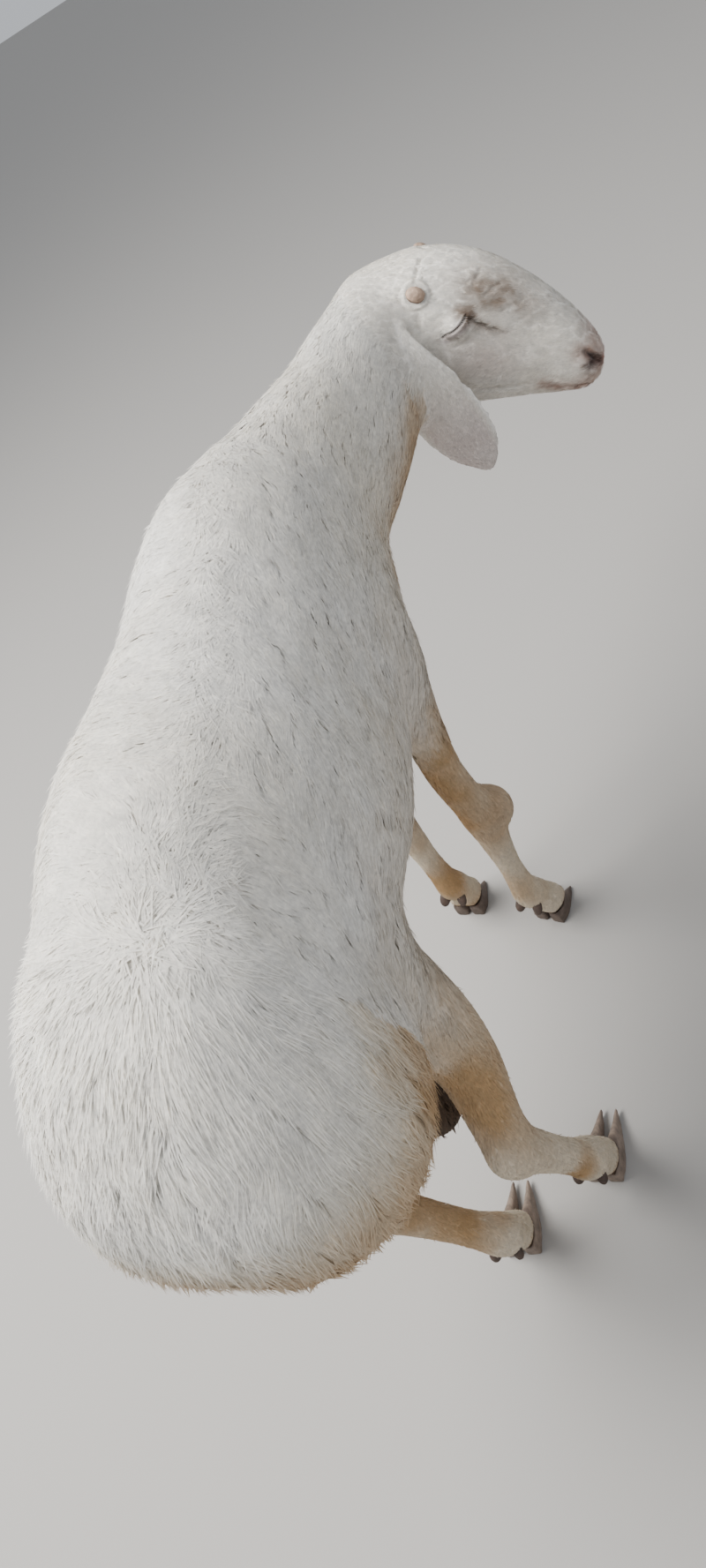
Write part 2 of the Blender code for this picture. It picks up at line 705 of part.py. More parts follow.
def part_of(mesh, members, name):
    index = {old: new for new, old in enumerate(members)}
    verts = [tuple(mesh.vertices[i].co) for i in members]
    faces = [tuple(index[i] for i in p.vertices)
             for p in mesh.polygons if p.vertices[0] in index]
    piece = bpy.data.meshes.new(name)
    piece.from_pydata(verts, [], faces)
    obj = bpy.data.objects.new(name, piece)
    scene.collection.objects.link(obj)
    return obj


def largest_island(obj):
    """Drop stray slivers a carve may leave."""
    groups = sorted(islands(obj.data), key=len)
    if len(groups) > 1:
        name = obj.name
        kept = part_of(obj.data, groups[-1], name + "_kept")
        bpy.data.objects.remove(obj, do_unlink=True)
        kept.name = name
        print("slivers dropped from", name, [len(g) for g in groups[:-1]])
        return kept
    return obj


named = {}
for members in islands(flesh.data):
    middle = sum((flesh.data.vertices[i].co for i in members), Vector()) / len(members)
    label = min(PLACES, key=lambda n: (Vector(PLACES[n]) - middle).length)
    if label in named or len(members) < 40:
        print("unexpected island", label, len(members), tuple(round(c, 3) for c in middle))
        continue
    named[label] = part_of(flesh.data, members, label)
bpy.data.objects.remove(flesh, do_unlink=True)
print("flesh pieces", sorted(named))

# ---------------------------------------------------------------- materials, placing
COAT_WHITE = (0.80, 0.77, 0.71)
COAT_TAN = (0.62, 0.49, 0.33)
coat = material("short_coat", COAT_WHITE, 0.85)
leg_coat = material("leg_coat", COAT_TAN, 0.85)
dark_wool = material("dark_wool", (0.16, 0.10, 0.06), 0.90)
hoof_horn = material("hoof_horn", (0.17, 0.12, 0.09), 0.55)
bud_horn = material("bud_horn", (0.55, 0.42, 0.29), 0.60)
eye_wet = material("eye_wet", (0.05, 0.03, 0.02), 0.10)

for label in list(pieces):
    pieces[label] = largest_island(pieces[label])
everything = {**named, **pieces}
for label, obj in everything.items():
    obj.name = label
    obj.data.name = label
    if label.startswith(("claw", "dewclaw")):
        look = hoof_horn
    elif label.startswith("horn_bud"):
        look = bud_horn
    elif label.startswith("eye"):
        look = eye_wet
    elif label.startswith("scrotum"):
        look = dark_wool
    elif label.startswith(("foreleg", "hindleg")):
        look = leg_coat
    else:
        look = coat
    obj.data.materials.clear()
    obj.data.materials.append(look)
    face_outward(obj)

low = Vector((1e9, 1e9, 1e9))
high = -low
for obj in everything.values():
    for vertex in obj.data.vertices:
        for axis in range(3):
            low[axis] = min(low[axis], vertex.co[axis])
            high[axis] = max(high[axis], vertex.co[axis])
shift = Vector((-(low.x + high.x) / 2.0, -(low.y + high.y) / 2.0, -low.z))
move = Matrix.Translation(shift)
total = 0
for label, obj in everything.items():
    obj.data.transform(move)
    obj.data.update()
    obj.data.polygons.foreach_set("use_smooth", [True] * len(obj.data.polygons))
    total += sum(len(p.vertices) - 2 for p in obj.data.polygons)
print("shift", tuple(round(c, 5) for c in shift), "triangles", total)
print("size", tuple(round(c, 4) for c in (high - low)))
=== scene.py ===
"""Looks for a life-size still model of a standing fat-tailed ram, head turned low to its right.

Row frame, metres: X forward, Y to the animal's left, Z up, soles at Z = 0.
"""
import math

import bmesh
import bpy
import numpy as np
from mathutils import Matrix, Vector
from mathutils.bvhtree import BVHTree
from mathutils.kdtree import KDTree


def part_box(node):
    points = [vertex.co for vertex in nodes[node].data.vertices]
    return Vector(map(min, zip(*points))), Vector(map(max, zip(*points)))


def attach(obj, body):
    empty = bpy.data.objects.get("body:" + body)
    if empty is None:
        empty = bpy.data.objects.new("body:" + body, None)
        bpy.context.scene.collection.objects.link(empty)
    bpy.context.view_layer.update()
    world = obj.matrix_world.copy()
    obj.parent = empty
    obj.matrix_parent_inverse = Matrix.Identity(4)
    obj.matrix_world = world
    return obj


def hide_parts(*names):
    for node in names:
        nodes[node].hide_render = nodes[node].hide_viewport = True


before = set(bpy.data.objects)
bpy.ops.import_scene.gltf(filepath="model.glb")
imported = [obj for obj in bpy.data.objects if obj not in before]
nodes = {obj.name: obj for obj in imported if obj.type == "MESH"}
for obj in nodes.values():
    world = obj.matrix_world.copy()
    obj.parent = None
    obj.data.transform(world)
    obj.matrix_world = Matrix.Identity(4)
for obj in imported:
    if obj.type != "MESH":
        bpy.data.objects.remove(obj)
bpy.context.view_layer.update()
scene = bpy.context.scene

# =============================================================== skin
# The real piece is the ram's hide: one unbroken skin over head, neck, trunk, fat tail,
# legs, ears and scrotum. It is grown from the parted solids, closed over their thin
# cuts, drawn in by the depth of the coat, and given the folds, lids, lips and nostrils.
FLESH = ["trunk", "neck", "head", "tail", "scrotum", "ear_left", "ear_right"]
FLESH += ["%sleg_%s_%s" % (pair, side, part) for pair in ("fore", "hind")
          for side in ("left", "right") for part in ("upper", "lower")]
SKIN_GRAIN = 0.0038          # size of the skin's faces
BRIDGE = 0.0006              # how far each solid grows to close the cuts
EAR_BRIDGE = 0.0028          # the thin ears are thickened, then laid back on their solids
EAR_HAIR = 0.0005            # and so far inside them
LID_THICKNESS = 0.0022
HEAD_AZIMUTH = math.radians(-85.0)
HEAD_PITCH = math.radians(-40.0)
EYE_ALONG, EYE_UP = 0.106, 0.014      # the eyes in the head's own frame
LIDS_AT = (EYE_ALONG + 0.006, 0.055, EYE_UP)
NOSE_AT = (0.27, 0.0, 0.03)
FACE_MIDDLE = (0.13, 0.0, 0.0)
EYE_RADIUS = 0.015
UP = Vector((0.0, 0.0, 1.0))
FAR = 9.0                             # stands for no line near enough to matter


def middle_of(node):
    low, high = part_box(node)
    return (Vector(low) + Vector(high)) / 2.0


def pointing(azimuth, pitch):
    return Vector((math.cos(pitch) * math.cos(azimuth),
                   math.cos(pitch) * math.sin(azimuth), math.sin(pitch)))


nose_way = pointing(HEAD_AZIMUTH, HEAD_PITCH)
head_left = UP.cross(nose_way).normalized()
head_up = nose_way.cross(head_left).normalized()
between_eyes = (middle_of("eye_left") + middle_of("eye_right")) / 2.0
head_root = between_eyes - nose_way * EYE_ALONG - head_up * EYE_UP
HEAD_AXES = np.array([nose_way, head_left, head_up])


def in_head(points):
    """Along, left and up of each point in the head's own frame."""
    return (points - np.array(head_root)) @ HEAD_AXES.T


def from_head(along, left, up):
    return head_root + nose_way * along + head_left * left + head_up * up


def grown_copy(obj, amount):
    """The solid's points and faces, welded and pushed out a little."""
    bm = bmesh.new()
    bm.from_mesh(obj.data)
    bmesh.ops.remove_doubles(bm, verts=bm.verts, dist=1e-6)
    bm.normal_update()
    for vert in bm.verts:
        vert.co = vert.co + vert.normal * amount
    mesh = bpy.data.meshes.new("grown")
    bm.to_mesh(mesh)
    bm.free()
    return mesh


def lengths(vectors):
    return np.linalg.norm(vectors, axis=1)


def all_points(mesh, what="co"):
    flat = np.empty(len(mesh.vertices) * 3)
    mesh.vertices.foreach_get(what, flat)
    return flat.reshape(-1, 3)


def all_normals(mesh):
    return all_points(mesh, "normal")


def put_points(mesh, points):
    mesh.vertices.foreach_set("co", np.ascontiguousarray(points).ravel())
    mesh.update()


def all_edges(mesh):
    flat = np.empty(len(mesh.edges) * 2, dtype=np.int64)
    mesh.edges.foreach_get("vertices", flat)
    return flat.reshape(-1, 2)


def relaxed(points, edges, rounds, weight):
    """Evens the surface out; weight says how much at each point."""
    count = len(points)
    a, b = edges[:, 0], edges[:, 1]
    degree = np.maximum(np.bincount(edges.ravel(), minlength=count), 1)[:, None]
    for _ in range(rounds):
        total = np.stack([np.bincount(a, column[b], count) + np.bincount(b, column[a], count)
                          for column in points.T], axis=1)
        points = points + weight[:, None] * (total / degree - points)
    return points


def remeshed(shell, grain):
    """An object's mesh, closed and evenly divided."""
    closer = shell.modifiers.new("closer", "REMESH")
    closer.mode = "VOXEL"
    closer.voxel_size = grain
    return bpy.data.meshes.new_from_object(
        shell.evaluated_get(bpy.context.evaluated_depsgraph_get()))


bm = bmesh.new()
for name in FLESH:
    part = grown_copy(nodes[name], EAR_BRIDGE if name.startswith("ear") else BRIDGE)
    bm.from_mesh(part)
    bpy.data.meshes.remove(part)
for name in ("eye_right", "eye_left"):
    bmesh.ops.create_icosphere(bm, subdivisions=4, radius=EYE_RADIUS + LID_THICKNESS,
                               matrix=Matrix.Translation(middle_of(name)))
skin_mesh = bpy.data.meshes.new("skin")
bm.to_mesh(skin_mesh)
bm.free()
skin = bpy.data.objects.new("skin", skin_mesh)
scene.collection.objects.link(skin)
skin_mesh = remeshed(skin, SKIN_GRAIN)
skin.modifiers.clear()
skin.data = skin_mesh


def keep_outer(mesh):
    """Drops the little bubbles that a closed cut may leave inside."""
    edges = all_edges(mesh)
    label = np.arange(len(mesh.vertices))
    a, b = edges[:, 0], edges[:, 1]
    while True:
        before = label.copy()
        low = np.minimum(label[a], label[b])
        np.minimum.at(label, a, low)
        np.minimum.at(label, b, low)
        label = label[label]
        if (label == before).all():
            break
    kept = np.bincount(label).argmax()
    if (label == kept).all():
        return
    work = bmesh.new()
    work.from_mesh(mesh)
    strays = [v for v, owner in zip(work.verts, label) if owner != kept]
    bmesh.ops.delete(work, geom=strays, context="VERTS")
    work.to_mesh(mesh)
    work.free()


keep_outer(skin_mesh)

# which solid each place of the skin belongs to
part_tree = KDTree(sum(len(nodes[n].data.vertices) + len(nodes[n].data.polygons) for n in FLESH))
part_owner = []
for number, name in enumerate(FLESH):
    mesh = nodes[name].data
    for spot in [v.co for v in mesh.vertices] + [p.center for p in mesh.polygons]:
        part_tree.insert(spot, len(part_owner))
        part_owner.append(number)
part_tree.balance()
part_owner = np.array(part_owner)


def owners_of(points):
    return part_owner[np.array([part_tree.find(p)[1] for p in points])]


EAR = (FLESH.index("ear_left"), FLESH.index("ear_right"))
HEAD, NECK, TRUNK, TAIL = (FLESH.index(n) for n in ("head", "neck", "trunk", "tail"))
SCROTUM = FLESH.index("scrotum")
owner = owners_of(all_points(skin_mesh))

# the bulk is smoothed most, so that no facet of the solids shows through
evenness = np.full(len(owner), 0.30)
evenness[np.isin(owner, (TRUNK, TAIL, NECK))] = 0.65
evenness[np.isin(owner, EAR)] = 0.10
edges = all_edges(skin_mesh)
evenness = relaxed(evenness[:, None], edges, 12, np.full(len(owner), 0.5))[:, 0]
points = relaxed(all_points(skin_mesh), edges, 36, evenness)

# the ears go back on to their solids, so that their rims stay whole
on_ear = np.zeros(len(points))
for number in EAR:
    ear = grown_copy(nodes[FLESH[number]], -EAR_HAIR)
    ear_face = BVHTree.FromPolygons([v.co for v in ear.vertices],
                                    [tuple(p.vertices) for p in ear.polygons])
    bpy.data.meshes.remove(ear)
    top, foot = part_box(FLESH[number])[1][2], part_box(FLESH[number])[0][2]
    mine = np.where(owner == number)[0]
    hang = np.clip((top - points[mine, 2]) / (top - foot) / 0.25 - 0.3, 0.0, 1.0)
    laid = np.array([ear_face.find_nearest(p)[0] for p in points[mine]])
    points[mine] += (laid - points[mine]) * hang[:, None]
    on_ear[mine] = hang
points = relaxed(points, edges, 3, 0.35 * (on_ear > 0))
put_points(skin_mesh, points)


def finer(mesh, wanted):
    """Splits every face whose points are all wanted into four."""
    work = bmesh.new()
    work.from_mesh(mesh)
    work.verts.ensure_lookup_table()
    chosen = [e for e in work.edges if wanted[e.verts[0].index] and wanted[e.verts[1].index]]
    bmesh.ops.subdivide_edges(work, edges=chosen, cuts=1, use_grid_fill=True, smooth=0.0)
    work.to_mesh(mesh)
    work.free()


head_places = in_head(all_points(skin_mesh))
on_face = (head_places[:, 0] > 0.020) & (np.abs(head_places[:, 1]) < 0.10)
on_face &= lengths(head_places - FACE_MIDDLE) < 0.21
on_face &= ~np.isin(owner, EAR)
finer(skin_mesh, on_face)
head_places = in_head(all_points(skin_mesh))
sided = np.abs(head_places)
near_eye = lengths(sided - LIDS_AT) < 0.036
near_nose = (head_places[:, 0] > 0.222) & (lengths(sided - NOSE_AT) < 0.08)
finer(skin_mesh, near_eye | near_nose)
points = all_points(skin_mesh)
edges = all_edges(skin_mesh)
weight = np.where(lengths(in_head(points) - FACE_MIDDLE) < 0.22, 0.4, 0.0)
points = relaxed(points, edges, 6, weight)
put_points(skin_mesh, points)


def along_path(path, steps=14):
    """Points spread evenly over a bent line through the given places."""
    path = np.array(path, dtype=float)
    if len(path) == 2:
        path = np.array([path[0], path.mean(axis=0), path[1]])
    gaps = lengths(np.diff(path, axis=0))
    at = np.concatenate([[0.0], np.cumsum(gaps)]) / gaps.sum()
    t = np.linspace(0.0, 1.0, steps)
    return np.stack([np.interp(t, at, path[:, k]) for k in range(path.shape[1])], axis=1), t


def from_line(places, path, flat=False):
    """Distance of each place from a bent line, and how far along the line it is."""
    dots, t = along_path(path, 40)
    if flat:
        places = places[:, [0, 2]]
        dots = dots[:, [0, 2]]
    best = np.full(len(places), 9.0)
    share = np.zeros(len(places))
    reach = 0.06
    low, high = dots.min(axis=0) - reach, dots.max(axis=0) + reach
    close = np.where(((places > low) & (places < high)).all(axis=1))[0]
    if len(close):
        some = places[close]
        for dot, where in zip(dots, t):
            gap = lengths(some - dot)
            nearer = gap < best[close]
            best[close[nearer]] = gap[nearer]
            share[close[nearer]] = where
    return best, share


def bell(gap, width):
    """1 at no gap, fading to nothing beyond the width."""
    return np.exp(-((gap / width) ** 2))


def fold(places, path, width, depth, flat=False, taper=0.18):
    """Height of a crease (negative depth is a ridge) that fades out at its ends."""
    gap, share = from_line(places, path, flat)
    ends = np.clip(np.minimum(share, 1.0 - share) / taper, 0.25, 1.0)
    return -depth * ends * bell(gap, width)


def swell(places, centre, reach, height):
    """A soft bump or hollow round a place."""
    away = lengths((places - np.array(centre)) / np.array(reach))
    return height * np.exp(-(away ** 2))


def moved(path, along, aside, up):
    return [(a + along, b + aside, c + up) for a, b, c in path]


def on_one_side(places):
    """Head places with its right side laid over its left."""
    return np.stack([places[:, 0], np.abs(places[:, 1]), places[:, 2]], axis=1)


# paths on the face: along the head, away from its middle, up
SLIT = [(0.092, 0.059, -0.002), (0.0985, 0.063, 0.0075), (0.105, 0.063, 0.0175),
        (0.1095, 0.059, 0.025), (0.112, 0.055, 0.03)]
TEAR_CREASE = [(0.112, 0.055, 0.03), (0.12, 0.052, 0.027), (0.13, 0.046, 0.021),
               (0.141, 0.043, 0.0175), (0.152, 0.042, 0.0155), (0.165, 0.041, 0.014)]
BROW_FOLD = [(0.056, 0.053, 0.022), (0.0585, 0.057, 0.012), (0.063, 0.059, 0.002),
             (0.07, 0.06, -0.006)]
LOWER_LID_FOLD = [(0.101, 0.06, -0.006), (0.111, 0.062, 0.003), (0.119, 0.06, 0.012),
                  (0.123, 0.054, 0.022)]
BAG_FOLD = [(0.106, 0.058, -0.013), (0.118, 0.06, -0.005), (0.129, 0.056, 0.006)]
MOUTH = [(0.238, 0.027, -0.05), (0.25, 0.026, -0.0505), (0.262, 0.025, -0.049),
         (0.277, 0.022, -0.0455), (0.294, 0.012, -0.04), (0.303, 0.0, -0.0375)]
NOSTRIL = [(0.269, 0.026, 0.004), (0.276, 0.0235, 0.001), (0.284, 0.019, -0.0025),
           (0.291, 0.014, -0.0065), (0.297, 0.009, -0.011)]
NOSTRIL_FLOOR = (0.286, 0.0215, -0.0095)
NOSTRIL_WING = [(0.276, 0.027, -0.012), (0.284, 0.026, -0.02), (0.294, 0.018, -0.021)]
LIP_CLEFT = [(0.3, 0.0, -0.002), (0.306, 0.0, -0.018), (0.305, 0.0, -0.035)]
JAW_FOLD = [(0.105, 0.048, -0.076), (0.145, 0.038, -0.076), (0.181, 0.029, -0.068),
            (0.203, 0.028, -0.059), (0.225, 0.028, -0.05)]
JOWL_FOLD = [(0.226, 0.034, -0.02), (0.234, 0.033, -0.034), (0.238, 0.03, -0.046)]
HORN_CREASES = [
    [(0.044, 0.043, 0.047), (0.044, 0.031, 0.054), (0.046, 0.014, 0.062), (0.055, 0.006, 0.067)],
    [(0.003, 0.037, 0.029), (0.014, 0.039, 0.032), (0.027, 0.045, 0.034), (0.035, 0.050, 0.034)],
    [(0.003, 0.048, 0.025), (0.016, 0.048, 0.027), (0.029, 0.051, 0.027), (0.039, 0.053, 0.026)],
    [(0.010, 0.020, 0.040), (0.024, 0.027, 0.046), (0.037, 0.032, 0.050), (0.044, 0.034, 0.052)],
    [(0.075, 0.034, 0.060), (0.090, 0.035, 0.059), (0.104, 0.036, 0.060), (0.111, 0.030, 0.066)],
    [(0.111, 0.038, 0.057), (0.113, 0.034, 0.062), (0.115, 0.026, 0.069), (0.118, 0.017, 0.075)],
    [(0.083, 0.026, 0.068), (0.095, 0.026, 0.069), (0.106, 0.022, 0.072)],
    [(0.126, 0.042, 0.050), (0.134, 0.034, 0.058), (0.146, 0.024, 0.066)],
    [(0.150, 0.040, 0.036), (0.162, 0.034, 0.044), (0.176, 0.026, 0.052)],
    [(0.176, 0.036, 0.028), (0.186, 0.030, 0.038), (0.198, 0.022, 0.046)],
]

# places of the body, in the row frame
TAIL_CROWN = np.array(head_root) + (-0.908, -0.008, 0.050)     # where the tail's hair parts


def coat_depth(owner):
    """How thick the coat lies over the skin."""
    return np.select(
        [owner == TRUNK, owner == TAIL, owner == NECK, owner == HEAD,
         np.isin(owner, EAR), owner == SCROTUM],
        [0.0028, 0.0048, 0.0024, 0.0013, 0.0008, 0.0050], 0.0015)


owner = owners_of(points)
depth = relaxed(coat_depth(owner)[:, None], edges, 30, np.full(len(points), 0.6))[:, 0]
sunk = relaxed(np.where(np.isin(owner, EAR), 0.0, depth)[:, None], edges, 6,
               np.full(len(points), 0.5))
points = points - all_normals(skin_mesh) * sunk
points = relaxed(points, edges, 2, np.where(np.isin(owner, (TRUNK, TAIL, NECK)), 0.5, 0.0))
# the closed lids lie over the eyeballs
for name in ("eye_left", "eye_right"):
    eye = np.array(middle_of(name))
    outward = points - eye
    gap = lengths(outward)
    lid = EYE_RADIUS + LID_THICKNESS
    soft = 0.0035
    pushed = lid + np.logaddexp(0.0, (gap - lid) / soft) * soft - soft * math.log(2.0) * 0.35
    pushed = np.maximum(pushed, lid)
    near = gap < lid + 0.012
    points[near] = (eye + outward * (pushed / gap)[:, None])[near]
put_points(skin_mesh, points)

side_places = on_one_side(in_head(points))
lateral = side_places[:, 1] > 0.034
height = np.zeros(len(points))
slit_gap = np.where(lateral, from_line(side_places, SLIT, flat=True)[0], FAR)
height += -0.0034 * bell(slit_gap, 0.0013)
height += 0.0005 * bell(slit_gap - 0.0032, 0.0018)
for crease in ((TEAR_CREASE, 0.0026, 0.0030), (TEAR_CREASE, 0.0090, 0.0026),
               (LOWER_LID_FOLD, 0.0022, 0.0009), (BAG_FOLD, 0.0026, 0.0008)):
    height += np.where(lateral, fold(side_places, *crease, flat=True), 0.0)
for crease in ((BROW_FOLD, 0.0040, 0.0024), (MOUTH, 0.0017, 0.0038, False, 0.06),
               (moved(MOUTH, 0.0, 0.0, 0.007), 0.0045, -0.0012),
               (moved(MOUTH, 0.0, 0.0, -0.008), 0.0060, -0.0022),
               (NOSTRIL, 0.0035, 0.0100, False, 0.10)):
    height += fold(side_places, *crease)
height += swell(side_places, NOSTRIL_FLOOR, (0.0090, 0.012, 0.0075), -0.0062)
for crease in ((moved(NOSTRIL, -0.001, 0.002, 0.0085), 0.0042, -0.0022),
               (NOSTRIL_WING, 0.0040, -0.0018), (LIP_CLEFT, 0.0014, 0.0014),
               (JAW_FOLD, 0.0055, 0.0026), (JOWL_FOLD, 0.0024, 0.0012)):
    height += fold(side_places, *crease)
for number, crease in enumerate(HORN_CREASES):
    deep = 1.9 if number == 0 else 1.3 if number < 4 else 0.9
    height += fold(side_places, crease, 0.0026, 0.0019 * deep)
    height += fold(side_places, crease, 0.0080, -0.0006)
horn_gap = lengths(side_places - (0.048, 0.049, 0.038))
height += -0.0014 * bell(horn_gap - 0.0185, 0.0022)
height += 0.0016 * bell(horn_gap - 0.0145, 0.0024)
for bump in (((0.078, 0.056, 0.024), (0.018, 0.02, 0.014), 0.0016),
             ((0.190, 0.036, 0.018), (0.034, 0.02, 0.020), -0.0026),
             ((0.205, 0.034, -0.020), (0.020, 0.02, 0.016), 0.0012),
             ((0.135, 0.050, -0.028), (0.050, 0.03, 0.026), 0.0022),
             ((0.262, 0.030, -0.024), (0.020, 0.02, 0.014), 0.0016)):
    height += swell(side_places, *bump)


def hashed(ix, iy, iz, salt):
    """Repeatable value from 0 to 1 for each lattice point."""
    mixed = (ix * 374761393 + iy * 668265263 + iz * 2147483647 + salt * 1274126177) & 0xFFFFFFFF
    mixed = ((mixed ^ (mixed >> 13)) * 1103515245) & 0xFFFFFFFF
    mixed = ((mixed ^ (mixed >> 16)) * 69069) & 0xFFFFFFFF
    return ((mixed >> 8) & 0xFFFF) / 65535.0


def cloud(points, size, salt):
    """Smooth noise from -1 to 1 with features of the given size."""
    grid = points / size
    cell = np.floor(grid).astype(np.int64)
    t = grid - cell
    t = t * t * (3.0 - 2.0 * t)
    total = np.zeros(len(points))
    for i in (0, 1):
        for j in (0, 1):
            for k in (0, 1):
                share = (np.where(i, t[:, 0], 1 - t[:, 0]) * np.where(j, t[:, 1], 1 - t[:, 1])
                         * np.where(k, t[:, 2], 1 - t[:, 2]))
                total += share * hashed(cell[:, 0] + i, cell[:, 1] + j, cell[:, 2] + k, salt)
    return total * 2.0 - 1.0


def body_cover(points):
    """1 on trunk, tail and neck, 0 on face and feet, soft between."""
    rise = np.clip((points[:, 2] - 0.44) / 0.10, 0.0, 1.0)
    face = np.clip(1.0 - (lengths(in_head(points) - FACE_MIDDLE) - 0.12) / 0.06, 0.0, 1.0)
    return rise * (1.0 - face)


bulk = body_cover(points)
height += bulk * (0.0022 * cloud(points, 0.060, 3) + 0.0010 * cloud(points, 0.022, 4))
points = points + all_normals(skin_mesh) * height[:, None]
put_points(skin_mesh, points)
normals = all_normals(skin_mesh)
skin_mesh.shade_smooth()


# coat and skin colours, the same for both
WHITE = (0.900, 0.885, 0.850)
CREAM = (0.830, 0.775, 0.660)
TAN = (0.545, 0.350, 0.160)
GOLDEN = (0.420, 0.235, 0.090)
BEIGE = (0.620, 0.500, 0.360)
PATCH_BROWN = (0.270, 0.178, 0.112)
MUZZLE_PINK = (0.430, 0.265, 0.205)
CHEEK_PINK = (0.640, 0.520, 0.480)
EAR_PINK = (0.660, 0.570, 0.560)
# painted shade under the lashes, on the lower lid
LASH_SHADE_GREY = (0.370, 0.310, 0.300)
NOSE_PINK = (0.480, 0.190, 0.160)
# painted shade in the nostril's hollow
NOSTRIL_SHADE = (0.080, 0.045, 0.037)
# cream of the legs, darkened partly as painted shade beneath the body
LEG_CREAM_AND_SHADE = (0.780, 0.690, 0.550)
# painted shade along the face's creases: slit, tear crease, nostril and mouth
CREASE_SHADE = (0.060, 0.035, 0.025)
WOOL_DARK = (0.100, 0.062, 0.040)


def blended(colour, other, share):
    share = np.clip(share, 0.0, 1.0)[:, None]
    return colour * (1.0 - share) + other * share


def ramp(value, low, high):
    t = np.clip((value - low) / (high - low), 0.0, 1.0)
    return t * t * (3.0 - 2.0 * t)


def ear_rim(points, number):
    """0 in the middle of an ear's breadth, 1 at its rim."""
    spots = np.array([v.co[:] for v in nodes[FLESH[number]].data.vertices])
    broad = np.linalg.svd(spots - spots.mean(axis=0))[2][1]
    shelf = np.linspace(spots[:, 2].min(), spots[:, 2].max(), 12)
    across, mine = spots @ broad, points @ broad
    near = np.abs(spots[:, 2] - shelf[:, None]) < 1.2 * (shelf[1] - shelf[0])
    low = np.interp(points[:, 2], shelf, [across[row].min() for row in near])
    high = np.interp(points[:, 2], shelf, [across[row].max() for row in near])
    return np.abs(2.0 * (mine - low) / (high - low) - 1.0)


